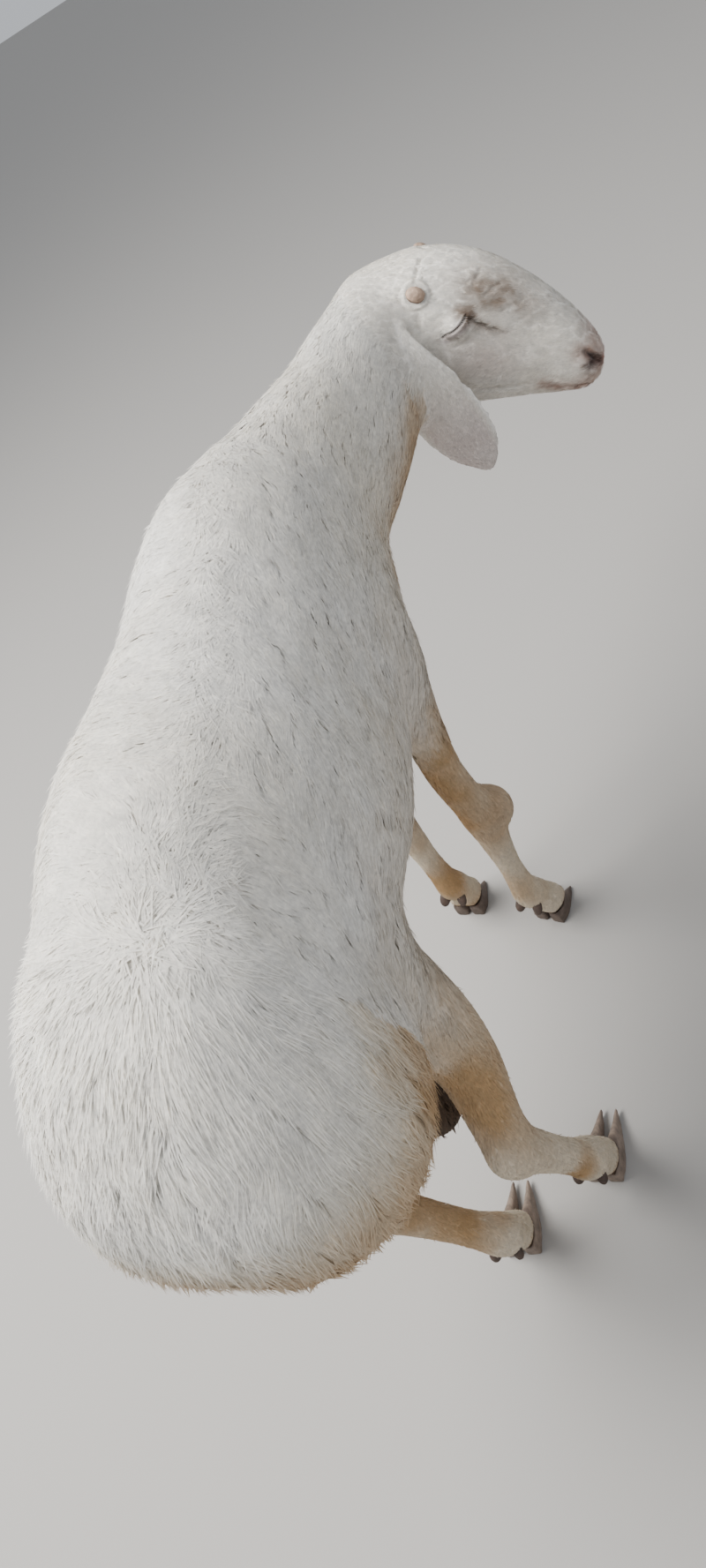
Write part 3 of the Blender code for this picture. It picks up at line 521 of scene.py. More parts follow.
def markings(points, owner):
    """Colour of coat and skin at each place, laid on in layers."""
    x, z = points[:, 0], points[:, 2]
    face = in_head(points)
    sided = on_one_side(face)
    broad_cloud = cloud(points, 0.070, 16)
    blotch = cloud(points, 0.030, 11)
    speck = cloud(points, 0.0075, 12)
    # the flank is painted darker and yellower downwards, partly its own tint and partly painted
    # shade; the legs and belly are cream with tan running over them in patches, made darker partly
    # as painted shade beneath the body
    on_leg = ~np.isin(owner, (TRUNK, TAIL, NECK, HEAD) + EAR)
    flank_tint_and_shade = ramp(0.76 + 0.03 * blotch - z, 0.0, 0.18) * (owner == TRUNK)
    leg_tint_and_shade = ramp(0.590 + 0.022 * blotch - z, 0.0, 0.150) * (on_leg | (owner == TRUNK))
    tan = 0.32 + 1.05 * broad_cloud + 0.25 * blotch + 0.45 * ramp(0.055 - z, 0.0, 0.04)
    tan = tan + 0.50 * ramp(z, 0.24, 0.36) * (x > 0.0) + 0.25 * ramp(z, 0.42, 0.52)
    layers = [(CREAM, 0.28 + 0.22 * cloud(points, 0.14, 13) + 0.10 * blotch),
              (BEIGE, 0.30 * flank_tint_and_shade), (LEG_CREAM_AND_SHADE, 0.95 * leg_tint_and_shade),
              (TAN, 0.90 * leg_tint_and_shade * np.clip(tan, 0.0, 1.0))]
    layers += [(GOLDEN, leg_tint_and_shade * swell(points, knee, (0.034, 0.034, 0.042), 0.62)
                * (1.0 + 0.35 * blotch)) for knee in KNEES]
    # the fat tail is stained golden round its lower rim, the neck is yellower below
    edge = 0.585 + 0.58 * (x - TAIL_CROWN[0] + 0.12) + 0.016 * blotch
    edge = np.clip(edge, 0.602, 0.680)
    for stain, strength, rise, spread in ((CREAM, 1.0, 0.115, 0.080),
                                          (TAN, 0.74 + 0.20 * blotch, 0.090, 0.105),
                                          (GOLDEN, 0.45, 0.008, 0.070)):
        layers.append((stain, strength * (ramp(edge + rise - z, 0.0, spread) * (owner == TAIL))))
    throat = ramp(0.745 + 0.02 * blotch - z + 0.30 * (x - 0.24), 0.0, 0.12)
    throat = throat * ramp(x, 0.12, 0.22) * np.isin(owner, (NECK, TRUNK, HEAD))
    behind_jaw = ramp(0.125 - face[:, 0], 0.0, 0.060) * ramp(-0.035 - face[:, 2], 0.0, 0.035)
    throat = np.where(owner == HEAD, throat * behind_jaw, throat)
    layers += [(BEIGE, 0.60 * throat), (TAN, 0.60 * throat ** 2),
               (CREAM, swell(points, (0.235, -0.060, 0.700), (0.045, 0.10, 0.12), 0.5))]
    # the face: cheek, painted shade on the lower lid under the lashes, a brown patch between eye
    # and nose, muzzle, and painted shade in the slit, the tear crease, the nostril and the mouth
    outer = sided[:, 1] > 0.03
    ring = np.where(outer, from_line(sided, SLIT, flat=True)[0], FAR)
    beneath = from_line(sided, moved(SLIT, 0.006, 0.0, -0.001), flat=True)[0]
    beneath = np.where(outer, beneath, FAR)
    crease, share = from_line(sided, TEAR_CREASE, flat=True)
    crease = np.where(outer, crease, FAR)
    fading = 1.0 - 0.60 * share
    lips = from_line(sided, MOUTH)[0]
    nose = from_line(sided, NOSTRIL)[0]
    spot = np.max([swell(sided, *blob) for blob in (
        ((0.139, 0.034, 0.055), (0.036, 0.032, 0.018), 1.4),
        ((0.104, 0.052, 0.035), (0.008, 0.012, 0.007), 1.0),
        ((0.117, 0.050, 0.036), (0.012, 0.014, 0.007), 1.2),
        ((0.180, 0.028, 0.046), (0.026, 0.020, 0.016), 0.7))], axis=0)
    spot = spot * np.where(face[:, 1] < 0.0, 1.0, 0.40)
    mottle = 0.66 + 0.22 * cloud(points, 0.012, 14) + 0.20 * cloud(points, 0.0045, 15)
    muzzle = ramp(face[:, 0] + 0.35 * np.abs(face[:, 2] + 0.02), 0.262, 0.300)
    muzzle = np.maximum(0.75 * muzzle, 0.90 * bell(lips, 0.010))
    muzzle = np.maximum(muzzle, bell(nose, 0.013))
    on_face = [(CHEEK_PINK, swell(sided, (0.150, 0.045, -0.022), (0.045, 0.04, 0.030), 0.38)),
               # painted shade on the lower lid under the lashes
               (LASH_SHADE_GREY, 0.80 * bell(beneath, 0.0065)),
               (PATCH_BROWN, np.clip(spot, 0, 1) * mottle),
               (MUZZLE_PINK, muzzle * (0.85 + 0.25 * speck)),
               (NOSE_PINK, swell(sided, (0.300, 0.0, -0.008), (0.007, 0.009, 0.007), 0.8)),
               (PATCH_BROWN, 0.85 * fading * bell(crease, 0.0065)),
               # painted shade along the tear crease, in the slit, in the nostril's hollow and
               # along the nostril and the mouth
               (CREASE_SHADE, 0.75 * fading * bell(crease, 0.0024)),
               (CREASE_SHADE, 0.95 * bell(ring, 0.0014)),
               (NOSTRIL_SHADE, swell(sided, NOSTRIL_FLOOR, (0.0105, 0.014, 0.0092), 1.15)),
               (CREASE_SHADE, 0.98 * bell(nose, 0.0050)),
               (CREASE_SHADE, 0.70 * bell(lips, 0.0020))]
    layers += [(other, (owner == HEAD) * strength) for other, strength in on_face]
    # ears are pinkish grey towards the tip, with a white rim
    for number in EAR:
        low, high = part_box(FLESH[number])
        fall = (high[2] - z) / (high[2] - low[2])
        mine = owner == number
        brim = np.zeros(len(points))
        if mine.any():
            brim[mine] = ear_rim(points[mine], number)
        inner = ramp(fall, 0.25, 0.70) * (0.80 + 0.20 * blotch) * ramp(0.92 - brim, 0.0, 0.30)
        layers += [(EAR_PINK, mine * (0.70 * inner)), (WHITE, mine * ramp(brim, 0.78, 0.94))]
    layers.append((WOOL_DARK, (owner == SCROTUM) * 0.95))
    colour = np.tile(WHITE, (len(points), 1))
    for other, strength in layers:
        colour = blended(colour, other, strength)
    return colour * (1.0 + 0.035 * speck)[:, None]


# fronts of the knees and hocks, where the hair is rubbed golden
KNEE_AHEAD, KNEE_UP = 0.006, 0.305
HOCK_AHEAD, HOCK_UP = 0.050, 0.320
KNEES = []
for side in ("left", "right"):
    low, high = np.array(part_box("foreleg_%s_upper" % side))
    KNEES.append(((low[0] + high[0]) / 2.0 + KNEE_AHEAD, (low[1] + high[1]) / 2.0, KNEE_UP))
    low, high = np.array(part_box("hindleg_%s_lower" % side))
    KNEES.append((low[0] + HOCK_AHEAD, (low[1] + high[1]) / 2.0, HOCK_UP))


def paint(mesh, colours):
    """Keeps one colour for each point of the mesh."""
    layer = mesh.color_attributes.new("coat_colour", "FLOAT_COLOR", "POINT")
    rgba = np.ones((len(colours), 4))
    rgba[:, :3] = np.clip(colours, 0.0, 1.0)
    layer.data.foreach_set("color", rgba.ravel())


paint(skin_mesh, markings(points, owner) * (0.97, 0.95, 0.94))


def new_material(name):
    mat = bpy.data.materials.new(name)
    mat.use_nodes = True
    return mat, mat.node_tree, mat.node_tree.nodes["Principled BSDF"]


def set_inputs(node, **sockets):
    for key, value in sockets.items():
        node.inputs[key.replace("_", " ")].default_value = value


def add_node(tree, kind, settings=None, **sockets):
    made = tree.nodes.new(kind)
    for key, value in (settings or {}).items():
        setattr(made, key, value)
    set_inputs(made, **sockets)
    return made


def noise(tree, place, scale, detail, roughness=0.5):
    made = add_node(tree, "ShaderNodeTexNoise", Scale=scale, Detail=detail, Roughness=roughness)
    tree.links.new(place, made.inputs["Vector"])
    return made.outputs["Fac"]


def mottled(tree, patches, dark, light):
    """The kept colours, darker and lighter in patches."""
    kept = add_node(tree, "ShaderNodeVertexColor", {"layer_name": "coat_colour"})
    spread = add_node(tree, "ShaderNodeMapRange", From_Min=0.3, From_Max=0.7,
                      To_Min=dark, To_Max=light)
    mixed = add_node(tree, "ShaderNodeMix", {"data_type": "RGBA", "blend_type": "MULTIPLY"},
                     Factor=1.0)
    tree.links.new(patches, spread.inputs["Value"])
    tree.links.new(kept.outputs["Color"], mixed.inputs["A"])
    tree.links.new(spread.outputs["Result"], mixed.inputs["B"])
    return mixed.outputs["Result"]


def add_relief(tree, shader, relief, strength, distance):
    bump = add_node(tree, "ShaderNodeBump", Strength=strength, Distance=distance)
    tree.links.new(relief, bump.inputs["Height"])
    tree.links.new(bump.outputs["Normal"], shader.inputs["Normal"])


def new_piece(name, mesh, look):
    mesh.materials.append(look)
    piece = bpy.data.objects.new(name, mesh)
    scene.collection.objects.link(piece)
    return piece


skin_look, tree, shader = new_material("hide")
place = add_node(tree, "ShaderNodeTexCoord").outputs["Object"]
hide_tint = mottled(tree, noise(tree, place, 160.0, 4.0), 0.80, 1.10)
tree.links.new(hide_tint, shader.inputs["Base Color"])
add_relief(tree, shader, noise(tree, place, 900.0, 3.0, 0.6), 0.55, 0.0012)
set_inputs(shader, Roughness=0.72, Sheen_Weight=0.15)
skin_mesh.materials.append(skin_look)
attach(skin, "root")
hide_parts(*FLESH)

# =============================================================== horn buds and claws
# The buds are low buttons of matte horn just through the skin of the poll. Each foot walks
# on two claws of layered grey-brown horn, grown long in rings, with two small dark dewclaws
# behind. Each is its solid's own form, evened out and grown in fine relief.
HORN_GRAIN, BUD_GRAIN = 0.0016, 0.0009
BUD_TAN = (0.430, 0.300, 0.220)
# painted shadow round the bud's foot
BUD_BASE_SHADE = (0.130, 0.080, 0.055)
FORE_HORN = (0.100, 0.072, 0.056)
HIND_HORN = (0.200, 0.150, 0.116)
CORONET_HORN = (0.075, 0.050, 0.038)
DEWCLAW_HORN = (0.055, 0.033, 0.023)
RING_STEP = 0.0034           # from one growth ring to the next
FLAT_SOLE = 0.0007           # what lies lower than this stands level on the floor
ROOTED = 0.0025              # how deep a dewclaw sits in the skin
hide = BVHTree.FromObject(skin, bpy.context.evaluated_depsgraph_get())


def evened(node, grain, rounds):
    """A smooth, finely divided copy of a horn solid."""
    rough = grown_copy(nodes[node], 0.0)
    shell = bpy.data.objects.new("evened", rough)
    scene.collection.objects.link(shell)
    dense = remeshed(shell, grain)
    bpy.data.objects.remove(shell)
    bpy.data.meshes.remove(rough)
    spots = all_points(dense)
    put_points(dense, relaxed(spots, all_edges(dense), rounds, np.full(len(spots), 0.45)))
    return dense


horn_look, tree, shader = new_material("grey brown horn")
place = add_node(tree, "ShaderNodeTexCoord").outputs["Object"]
along_wall = add_node(tree, "ShaderNodeMapping", Scale=(1.0, 1.0, 0.22))
tree.links.new(place, along_wall.inputs["Vector"])
fibres = noise(tree, along_wall.outputs["Vector"], 620.0, 4.0, 0.65)
horn_tint = mottled(tree, noise(tree, place, 95.0, 5.0), 0.68, 1.30)
tree.links.new(horn_tint, shader.inputs["Base Color"])
dull = add_node(tree, "ShaderNodeMapRange", To_Min=0.45, To_Max=0.80)
tree.links.new(fibres, dull.inputs["Value"])
tree.links.new(dull.outputs["Result"], shader.inputs["Roughness"])
add_relief(tree, shader, fibres, 0.6, 0.0006)

for side in ("left", "right"):
    node = "horn_bud_" + side
    button = evened(node, BUD_GRAIN, 5)
    spots = all_points(button)
    middle = spots.mean(axis=0)
    outward = middle - np.array(head_root) - 0.048 * np.array(nose_way)
    outward = outward / np.linalg.norm(outward)
    rise = (spots - middle) @ outward
    spread_out = lengths(spots - middle - rise[:, None] * outward)
    worn = 0.00045 * cloud(spots, 0.0042, 21) + 0.00025 * cloud(spots, 0.0016, 22)
    worn -= 0.0011 * bell(spread_out, 0.0060) * (rise > 0.0)
    # the bud is painted darker round its foot where it meets the skin: painted shadow
    tint = blended(np.tile(BUD_TAN, (len(spots), 1)), BUD_BASE_SHADE,
                   ramp(0.0005 - rise + 0.0010 * cloud(spots, 0.004, 23), 0.0, 0.003))
    tint = tint * (1.0 + 0.12 * cloud(spots, 0.0022, 24))[:, None]
    put_points(button, spots + all_normals(button) * worn[:, None])
    paint(button, tint)
    button.shade_smooth()
    piece = new_piece("bud_" + side, button, horn_look)
    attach(piece, "root")
    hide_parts(node)

for pair, wall_horn in (("fore", FORE_HORN), ("hind", HIND_HORN)):
    for side in ("left", "right"):
        foot = bmesh.new()
        tints = []
        horns = ["%s_%s_%s_%s" % (kind, pair, side, half)
                 for kind in ("claw", "dewclaw") for half in ("left", "right")]
        for node in horns:
            part = evened(node, HORN_GRAIN, 10 if node.startswith("claw") else 5)
            spots = all_points(part)
            if node.startswith("dewclaw"):
                # its root is drawn out until it sits in the skin of the pastern
                centre = Vector(spots.mean(axis=0))
                inward = (hide.find_nearest(centre)[0] - centre).normalized()
                gap = hide.ray_cast(centre, inward)[3] or 0.0
                depth_in = (spots - np.array(centre)) @ np.array(inward)
                share = ramp(depth_in, depth_in.min(), depth_in.max())
                pull = max(gap - depth_in.max() + ROOTED, 0.0)
                spots = spots + share[:, None] * pull * np.array(inward)
                put_points(part, spots)
            ways = all_normals(part)
            level = spots[:, 2] < FLAT_SOLE
            top = spots[:, 2].max()
            phase = (top - spots[:, 2] + 0.0016 * cloud(spots, 0.012, 25)) / RING_STEP
            ring = 0.00028 * np.sin(2.0 * math.pi * phase) + 0.00020 * cloud(spots, 0.003, 26)
            flat_ways = 1.0 - np.abs(ways[:, 2])
            spots = spots + ways * (ring * flat_ways)[:, None]
            spots[level, 2] = 0.0
            spots[:, 2] = np.maximum(spots[:, 2], 0.0)
            put_points(part, spots)
            foot.from_mesh(part)
            bpy.data.meshes.remove(part)
            tint = np.tile(wall_horn if node.startswith("claw") else DEWCLAW_HORN,
                           (len(spots), 1))
            if node.startswith("claw"):
                tint = blended(tint, CORONET_HORN, 0.8 * ramp(0.006 - (top - spots[:, 2]),
                                                              0.0, 0.006))
            bands = 1.0 + 0.10 * np.sin(2.0 * math.pi * phase) + 0.14 * cloud(spots, 0.006, 27)
            tints.append(tint * bands[:, None])
        mesh = bpy.data.meshes.new("claws")
        foot.to_mesh(mesh)
        foot.free()
        paint(mesh, np.concatenate(tints))
        mesh.shade_smooth()
        piece = new_piece("claws_%s_%s" % (pair, side), mesh, horn_look)
        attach(piece, "root")
        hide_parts(*horns)

# =============================================================== coat
# The real coat is short white kemp hair that lies back along the body in loose locks,
# longest on the fat tail. Each blade here stands for a few hairs: it is rooted in the
# hide, follows it along the lie of the coat and lifts to the coat's full depth.
BLADE_ROOT = 0.0005          # how deep a blade is set in the hide
BEND_AT = 0.40               # share of its length at which it has risen
LOCK_LEAN, BLADE_LEAN = 0.16, 0.10
BLADE_ROLL = 0.16
OWN_LIGHT = 0.32             # how far a blade's own turn shows in its light
UNEVEN_SHADE = 0.035         # from lock to lock, and from blade to blade
CHART_PATCH = 0.0015         # half a blade's breadth on the chart


def unit(vectors):
    return vectors / np.maximum(lengths(vectors), 1e-9)[:, None]


# on the trunk the hair parts along the spine and runs out, back and down the flanks
on_trunk = owner == TRUNK
PARTING_X = [-0.34, -0.25, -0.15, -0.03, 0.15]       # the parting of the back hair
PARTING_Y = [-0.030, -0.018, 0.008, 0.038, 0.075]
spine_y = np.interp(points[:, 0], PARTING_X, PARTING_Y)
facing_side = np.abs(normals[:, 1])
from_parting = points[:, 1] - spine_y
crossing = on_trunk * np.clip(normals[:, 2], 0.0, 1.0) * bell(from_parting, 0.022)
tousle = bell(lengths(points - TAIL_CROWN), 0.045)
flow = np.stack([-0.12 - 0.85 * facing_side, np.tanh(from_parting / 0.010),
                 -0.10 - 0.55 * facing_side], axis=1)
flow[:, 1] *= 1.0 - 0.85 * facing_side
low = on_trunk & (points[:, 2] < 0.56)
flow[low] = (-0.45, 0.0, -0.90)
on_neck = owner == NECK
flow[on_neck] = (-0.85, 0.25, -0.30)
on_tail = owner == TAIL
from_crown = points - TAIL_CROWN
crown_gap = lengths(from_crown)
flow[on_tail] = unit(from_crown[on_tail]) + (0.0, 0.0, -0.30)
near_crown = on_trunk & (crown_gap < 0.14)
flow[near_crown] = (unit(from_crown[near_crown])
                    + flow[near_crown] * ramp(crown_gap[near_crown], 0.03, 0.14)[:, None] * 1.5)
flow[~np.isin(owner, (TRUNK, NECK, TAIL, HEAD))] = (-0.12, 0.0, -1.0)
flow[owner == HEAD] = -np.array(nose_way) * 0.9 + np.array((0.0, 0.0, -0.25))
muzzle_side = (owner == HEAD) & (in_head(points)[:, 2] < -0.02)
flow[muzzle_side] = -np.array(nose_way) * 0.8 - np.array(head_up) * 0.6
flow = unit(flow)
flow = relaxed(flow, edges, 24, np.full(len(points), 0.6))
sway = np.stack([cloud(points, 0.055, 31), cloud(points, 0.055, 32),
                 cloud(points, 0.055, 33)], axis=1)
flow = flow + 0.30 * sway * body_cover(points)[:, None]
flow -= normals * (flow * normals).sum(axis=1)[:, None]
flow = unit(flow)

skin_mesh.calc_loop_triangles()
corners = np.empty(len(skin_mesh.loop_triangles) * 3, dtype=np.int64)
skin_mesh.loop_triangles.foreach_get("vertices", corners)
corners = corners.reshape(-1, 3)
triangle = points[corners]
area = lengths(np.cross(triangle[:, 1] - triangle[:, 0],
                               triangle[:, 2] - triangle[:, 0])) / 2.0
middle = triangle.mean(axis=1)
face_owner = owner[corners[:, 0]]
del triangle


def near_order(places):
    """Order that keeps neighbours together, by weaving the bits of the three places."""
    cell = ((places - places.min(axis=0)) / 0.004).astype(np.int64)
    code = np.zeros(len(places), dtype=np.int64)
    for bit in range(9):
        for axis in range(3):
            code |= ((cell[:, axis] >> bit) & 1) << (3 * bit + axis)
    return np.argsort(code, kind="stable")


def laid_on_skin(places):
    found = [hide.find_nearest(place)[:2] for place in places]
    return (np.array([spot[:] for spot, _ in found]), np.array([way[:] for _, way in found]))


def round_axis(places, centre, axis, start):
    """Turn about an axis (0 to 1) and distance along it: the hide slit open and laid flat."""
    axis = np.array(axis, dtype=float)
    start = np.array(start, dtype=float)
    across = np.cross(axis, start)
    away = places - np.array(centre)
    turn = np.arctan2(away @ across, away @ start) / (2.0 * math.pi) + 0.5
    return np.stack([turn, away @ axis], axis=1)


def fitted(flat, cells=1, cell=0):
    """Scales an unwrap into its column of the square."""
    low, high = flat.min(axis=0), flat.max(axis=0)
    flat = 0.004 + 0.992 * (flat - low) / np.maximum(high - low, 1e-6)
    flat[:, 0] = (flat[:, 0] * 0.98 + 0.01 + cell) / cells
    return flat


def laid_flat(centre, axis, start):
    """The unwrap of a piece slit open along an axis."""
    return lambda places: fitted(round_axis(places, centre, axis, start))


hair_look, tree, shader = new_material("white hair")
place = add_node(tree, "ShaderNodeTexCoord").outputs["Object"]
hair_tint = mottled(tree, noise(tree, place, 240.0, 3.0), 0.90, 1.08)
tree.links.new(hair_tint, shader.inputs["Base Color"])
set_inputs(shader, Roughness=0.62, Specular_IOR_Level=0.30)
# a blade lets some light through, as a few fine hairs do
through = add_node(tree, "ShaderNodeBsdfTranslucent")
both = add_node(tree, "ShaderNodeMixShader", Fac=0.35)
tree.links.new(hair_tint, through.inputs["Color"])
tree.links.new(shader.outputs["BSDF"], both.inputs[1])
tree.links.new(through.outputs["BSDF"], both.inputs[2])
tree.links.new(both.outputs["Shader"], tree.nodes["Material Output"].inputs["Surface"])


def grow_coat(name, chosen, per_area, length, width, unwrap, seed,
              lock=0.012, gather=0.30, stand=1.0, crowd=None, stray=0.03):
    """One piece of coat: blades rooted over the chosen faces of the skin."""
    rng = np.random.default_rng(seed)
    faces = np.where(chosen)[0]
    faces = faces[near_order(middle[faces])]
    weight = area[faces] if crowd is None else area[faces] * crowd[faces]
    reach = np.cumsum(weight)
    count = int(reach[-1] * per_area)
    spots = (np.arange(count) + rng.random(count)) / count * reach[-1]
    picked = faces[np.minimum(np.searchsorted(reach, spots), len(faces) - 1)]
    one, two = np.sqrt(rng.random(count)), rng.random(count)
    mix = np.stack([1.0 - one, one * (1.0 - two), one * two], axis=1)[:, :, None]
    ids = corners[picked]
    root = (points[ids] * mix).sum(axis=1)
    up = unit((normals[ids] * mix).sum(axis=1))
    lie = (flow[ids] * mix).sum(axis=1)
    lie[:, 1] += 1.5 * (crossing[ids] * mix[:, :, 0]).sum(axis=1) * rng.choice((-1.0, 1.0), count)
    lift = (depth[ids] * mix[:, :, 0]).sum(axis=1) * stand
    # locks: blades that share a seed lean and gather together
    seeds = root[rng.permutation(count)[:max(4, int(area[faces].sum() / lock ** 2))]]
    tree = KDTree(len(seeds))
    for number, spot in enumerate(seeds):
        tree.insert(spot, number)
    tree.balance()
    mine = np.array([tree.find(place)[1] for place in root])
    lean = rng.normal(0.0, LOCK_LEAN, len(seeds))[mine] + rng.normal(0.0, BLADE_LEAN, count)
    lean = lean * (1.0 + 7.0 * (tousle[ids] * mix[:, :, 0]).sum(axis=1))
    lie = unit(lie - up * (lie * up).sum(axis=1)[:, None])
    lie = lie * np.cos(lean)[:, None] + np.cross(up, lie) * np.sin(lean)[:, None]
    pull = (seeds[mine] - root) * gather
    long = length * (0.75 + 0.5 * rng.random(count))
    mid, mid_up = laid_on_skin(root + lie * (BEND_AT * long)[:, None] + pull * BEND_AT)
    end, end_up = laid_on_skin(root + lie * long[:, None] + pull)
    high = lift * (0.84 + 0.16 * rng.random(count)) * (0.94 + 0.08 * rng.random(len(seeds))[mine])
    mid = mid + mid_up * (0.92 * high)[:, None]
    loose = 1.0 + (rng.random(count) < stray) * rng.uniform(0.3, 1.6, count)
    end = end + end_up * (high * loose)[:, None]
    roll = rng.normal(0.0, BLADE_ROLL, count)
    side = unit(np.cross(up, end - root))
    side = side * np.cos(roll)[:, None] + up * np.sin(roll)[:, None]
    half = (width * (0.35 + 0.30 * rng.random(count)))[:, None]
    sunk = root - up * BLADE_ROOT
    shape = np.stack([sunk - side * half * 0.8, sunk + side * half * 0.8,
                      mid - side * half, mid + side * half, end], axis=1)
    first = np.arange(count)[:, None]
    loops = (first * 5 + (1, 0, 2, 3, 3, 2, 4)).ravel()
    mesh = bpy.data.meshes.new(name)
    mesh.vertices.add(count * 5)
    mesh.vertices.foreach_set("co", shape.ravel())
    mesh.loops.add(count * 7)
    mesh.loops.foreach_set("vertex_index", loops)
    mesh.polygons.add(count * 2)
    mesh.polygons.foreach_set("loop_start", (first * 7 + (0, 4)).ravel())
    mesh.update(calc_edges=True)
    patch = CHART_PATCH * np.array([(1, -1), (-1, -1), (-1, 0), (1, 0), (1, 0), (-1, 0), (0, 1)])
    chart = mesh.uv_layers.new(name="OFBake")
    chart.data.foreach_set("uv", (unwrap(root)[:, None, :] + patch).ravel())
    shade = 1.0 + rng.normal(0.0, UNEVEN_SHADE, len(seeds))[mine]
    shade += rng.normal(0.0, UNEVEN_SHADE, count)
    tint = markings(root, face_owner[picked]) * shade[:, None]
    # each blade is painted darker at its root and lighter at its tip: painted shade deep in the
    # coat and painted light at the tips
    paint(mesh, (tint[:, None, :]
                 * np.array((0.95, 0.95, 0.99, 0.99, 1.03))[None, :, None]).reshape(-1, 3))
    # fine hair is lit like the body under it, with only a little of each blade's own turn
    own = unit(np.cross(end - root, side))
    own *= np.sign((own * up).sum(axis=1))[:, None]
    facing = np.stack([up, up, mid_up, mid_up, end_up], axis=1) + OWN_LIGHT * own[:, None, :]
    facing /= np.linalg.norm(facing, axis=2)[:, :, None]
    mesh.shade_smooth()
    mesh.normals_split_custom_set_from_vertices(facing.reshape(-1, 3))
    piece = new_piece(name, mesh, hair_look)
    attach(piece, "root")


# trunk, in four pieces round and along the barrel
SIDES = (("left", 1.0), ("right", -1.0))
trunk_middle = middle_of("trunk")
for side_name, side_sign in SIDES:
    for end_name, end_sign in (("front", 1.0), ("rear", -1.0)):
        mine = (face_owner == TRUNK) & ((middle[:, 1] - trunk_middle[1]) * side_sign > 0)
        mine &= (middle[:, 0] - trunk_middle[0]) * end_sign > 0
        grow_coat("coat_trunk_%s_%s" % (side_name, end_name), mine, 300000, 0.023, 0.0020,
                  laid_flat(trunk_middle, (1, 0, 0), (0, -side_sign, 0)), 41)

# fat tail, the longest hair
tail_middle = middle_of("tail")
for side_name, side_sign in SIDES:
    mine = (face_owner == TAIL) & ((middle[:, 1] - tail_middle[1]) * side_sign > 0)
    grow_coat("coat_tail_%s" % side_name, mine, 390000, 0.034, 0.0017,
              laid_flat(tail_middle, (0, 0, 1), (0, -side_sign, 0)), 42,
              lock=0.016, gather=0.40, stray=0.10)

# neck
grow_coat("coat_neck", face_owner == NECK, 320000, 0.021, 0.0018,
          laid_flat(middle_of("neck"), (1, 0, 0), (0, 0, -1)), 43)

# head: short hair, thinnest round eyes, lips and nostrils
face_places = in_head(middle)
face_sided = np.abs(face_places)
bare = np.ones(len(middle))
slit_gap = from_line(face_sided, SLIT, flat=True)[0]
slit_gap[face_sided[:, 1] < 0.03] = FAR
nose_gap = from_line(face_sided, NOSTRIL)[0]
lip_gap = from_line(face_sided, MOUTH)[0]
bare[face_places[:, 0] > 0.262] = 0.55
bare[(slit_gap < 0.0030) | (nose_gap < 0.0060) | (lip_gap < 0.0025)] = 0.0
bare[lengths(face_sided - NOSTRIL_FLOOR) < 0.010] = 0.0
head_middle = np.array(head_root) + np.array(nose_way) * FACE_MIDDLE[0]
grow_coat("coat_head", (face_owner == HEAD) & (bare > 0.0), 330000, 0.0078, 0.0009,
          laid_flat(head_middle, nose_way, -head_up), 44,
          lock=0.008, gather=0.45, stand=1.05, crowd=bare)

# ears
for number in EAR:
    ear_name = FLESH[number]
    on_this = face_owner == number
    brim = np.ones(len(middle))
    brim[on_this] = ear_rim(middle[on_this], number)
    grow_coat("coat_" + ear_name, on_this & (brim < 0.90), 300000, 0.0058, 0.0009,
              laid_flat(middle_of(ear_name), (0, 0, 1), (0, 1, 0)), 45, lock=0.006, stand=0.8)

# legs, each piece with two columns of the chart
for pair in ("fore", "hind"):
    parts = [FLESH.index("%sleg_%s_%s" % (pair, side, half))
             for side in ("left", "right") for half in ("upper", "lower")]
    centres = [np.array(middle_of("%sleg_%s_lower" % (pair, side))) for side in ("left", "right")]

    def two_columns(places, centres=centres):
        flat = np.zeros((len(places), 2))
        gaps = [lengths((places - centre)[:, :2]) for centre in centres]
        nearer = (gaps[0] > gaps[1]).astype(int)
        for cell in (0, 1):
            mine = nearer == cell
            flat[mine] = fitted(round_axis(places[mine], centres[cell], (0, 0, 1), (0, 1, 0)),
                                2, cell)
        return flat

    grow_coat("coat_%slegs" % pair, np.isin(face_owner, parts), 230000, 0.010, 0.0012,
              two_columns, 46, lock=0.007, stand=1.2)

# scrotum, dark wool
grow_coat("coat_scrotum", face_owner == SCROTUM, 110000, 0.020, 0.0024,
          laid_flat(middle_of("scrotum"), (0, 0, 1), (0, 1, 0)), 47,
          lock=0.010, gather=0.6)

# =============================================================== eyes and lashes
# The eyes are shut. The real eye is a wet dark ball behind its lids, which shows as a thin
# line at most. Stiff white lashes grow from the upper lid's edge and hang over the cheek.
LASHES = 20
LASH_ROOT = 0.0006
LASH_DROOP = 0.22            # share of its length by which a lash hangs
LASH_LENGTH, LASH_WIDTH = 0.0098, 0.00050
LASH_STEPS = 4
THIRD_TURN = 2.0944          # a lash is three-sided

eye_look, tree, shader = new_material("wet brown eye")
place = add_node(tree, "ShaderNodeTexCoord").outputs["Object"]
brown = add_node(tree, "ShaderNodeValToRGB")
brown.color_ramp.elements[0].color = (0.010, 0.006, 0.004, 1.0)
brown.color_ramp.elements[1].color = (0.085, 0.040, 0.016, 1.0)
tree.links.new(noise(tree, place, 420.0, 4.0), brown.inputs["Fac"])
tree.links.new(brown.outputs["Color"], shader.inputs["Base Color"])
set_inputs(shader, Roughness=0.12, Coat_Weight=1.0, Coat_Roughness=0.04)

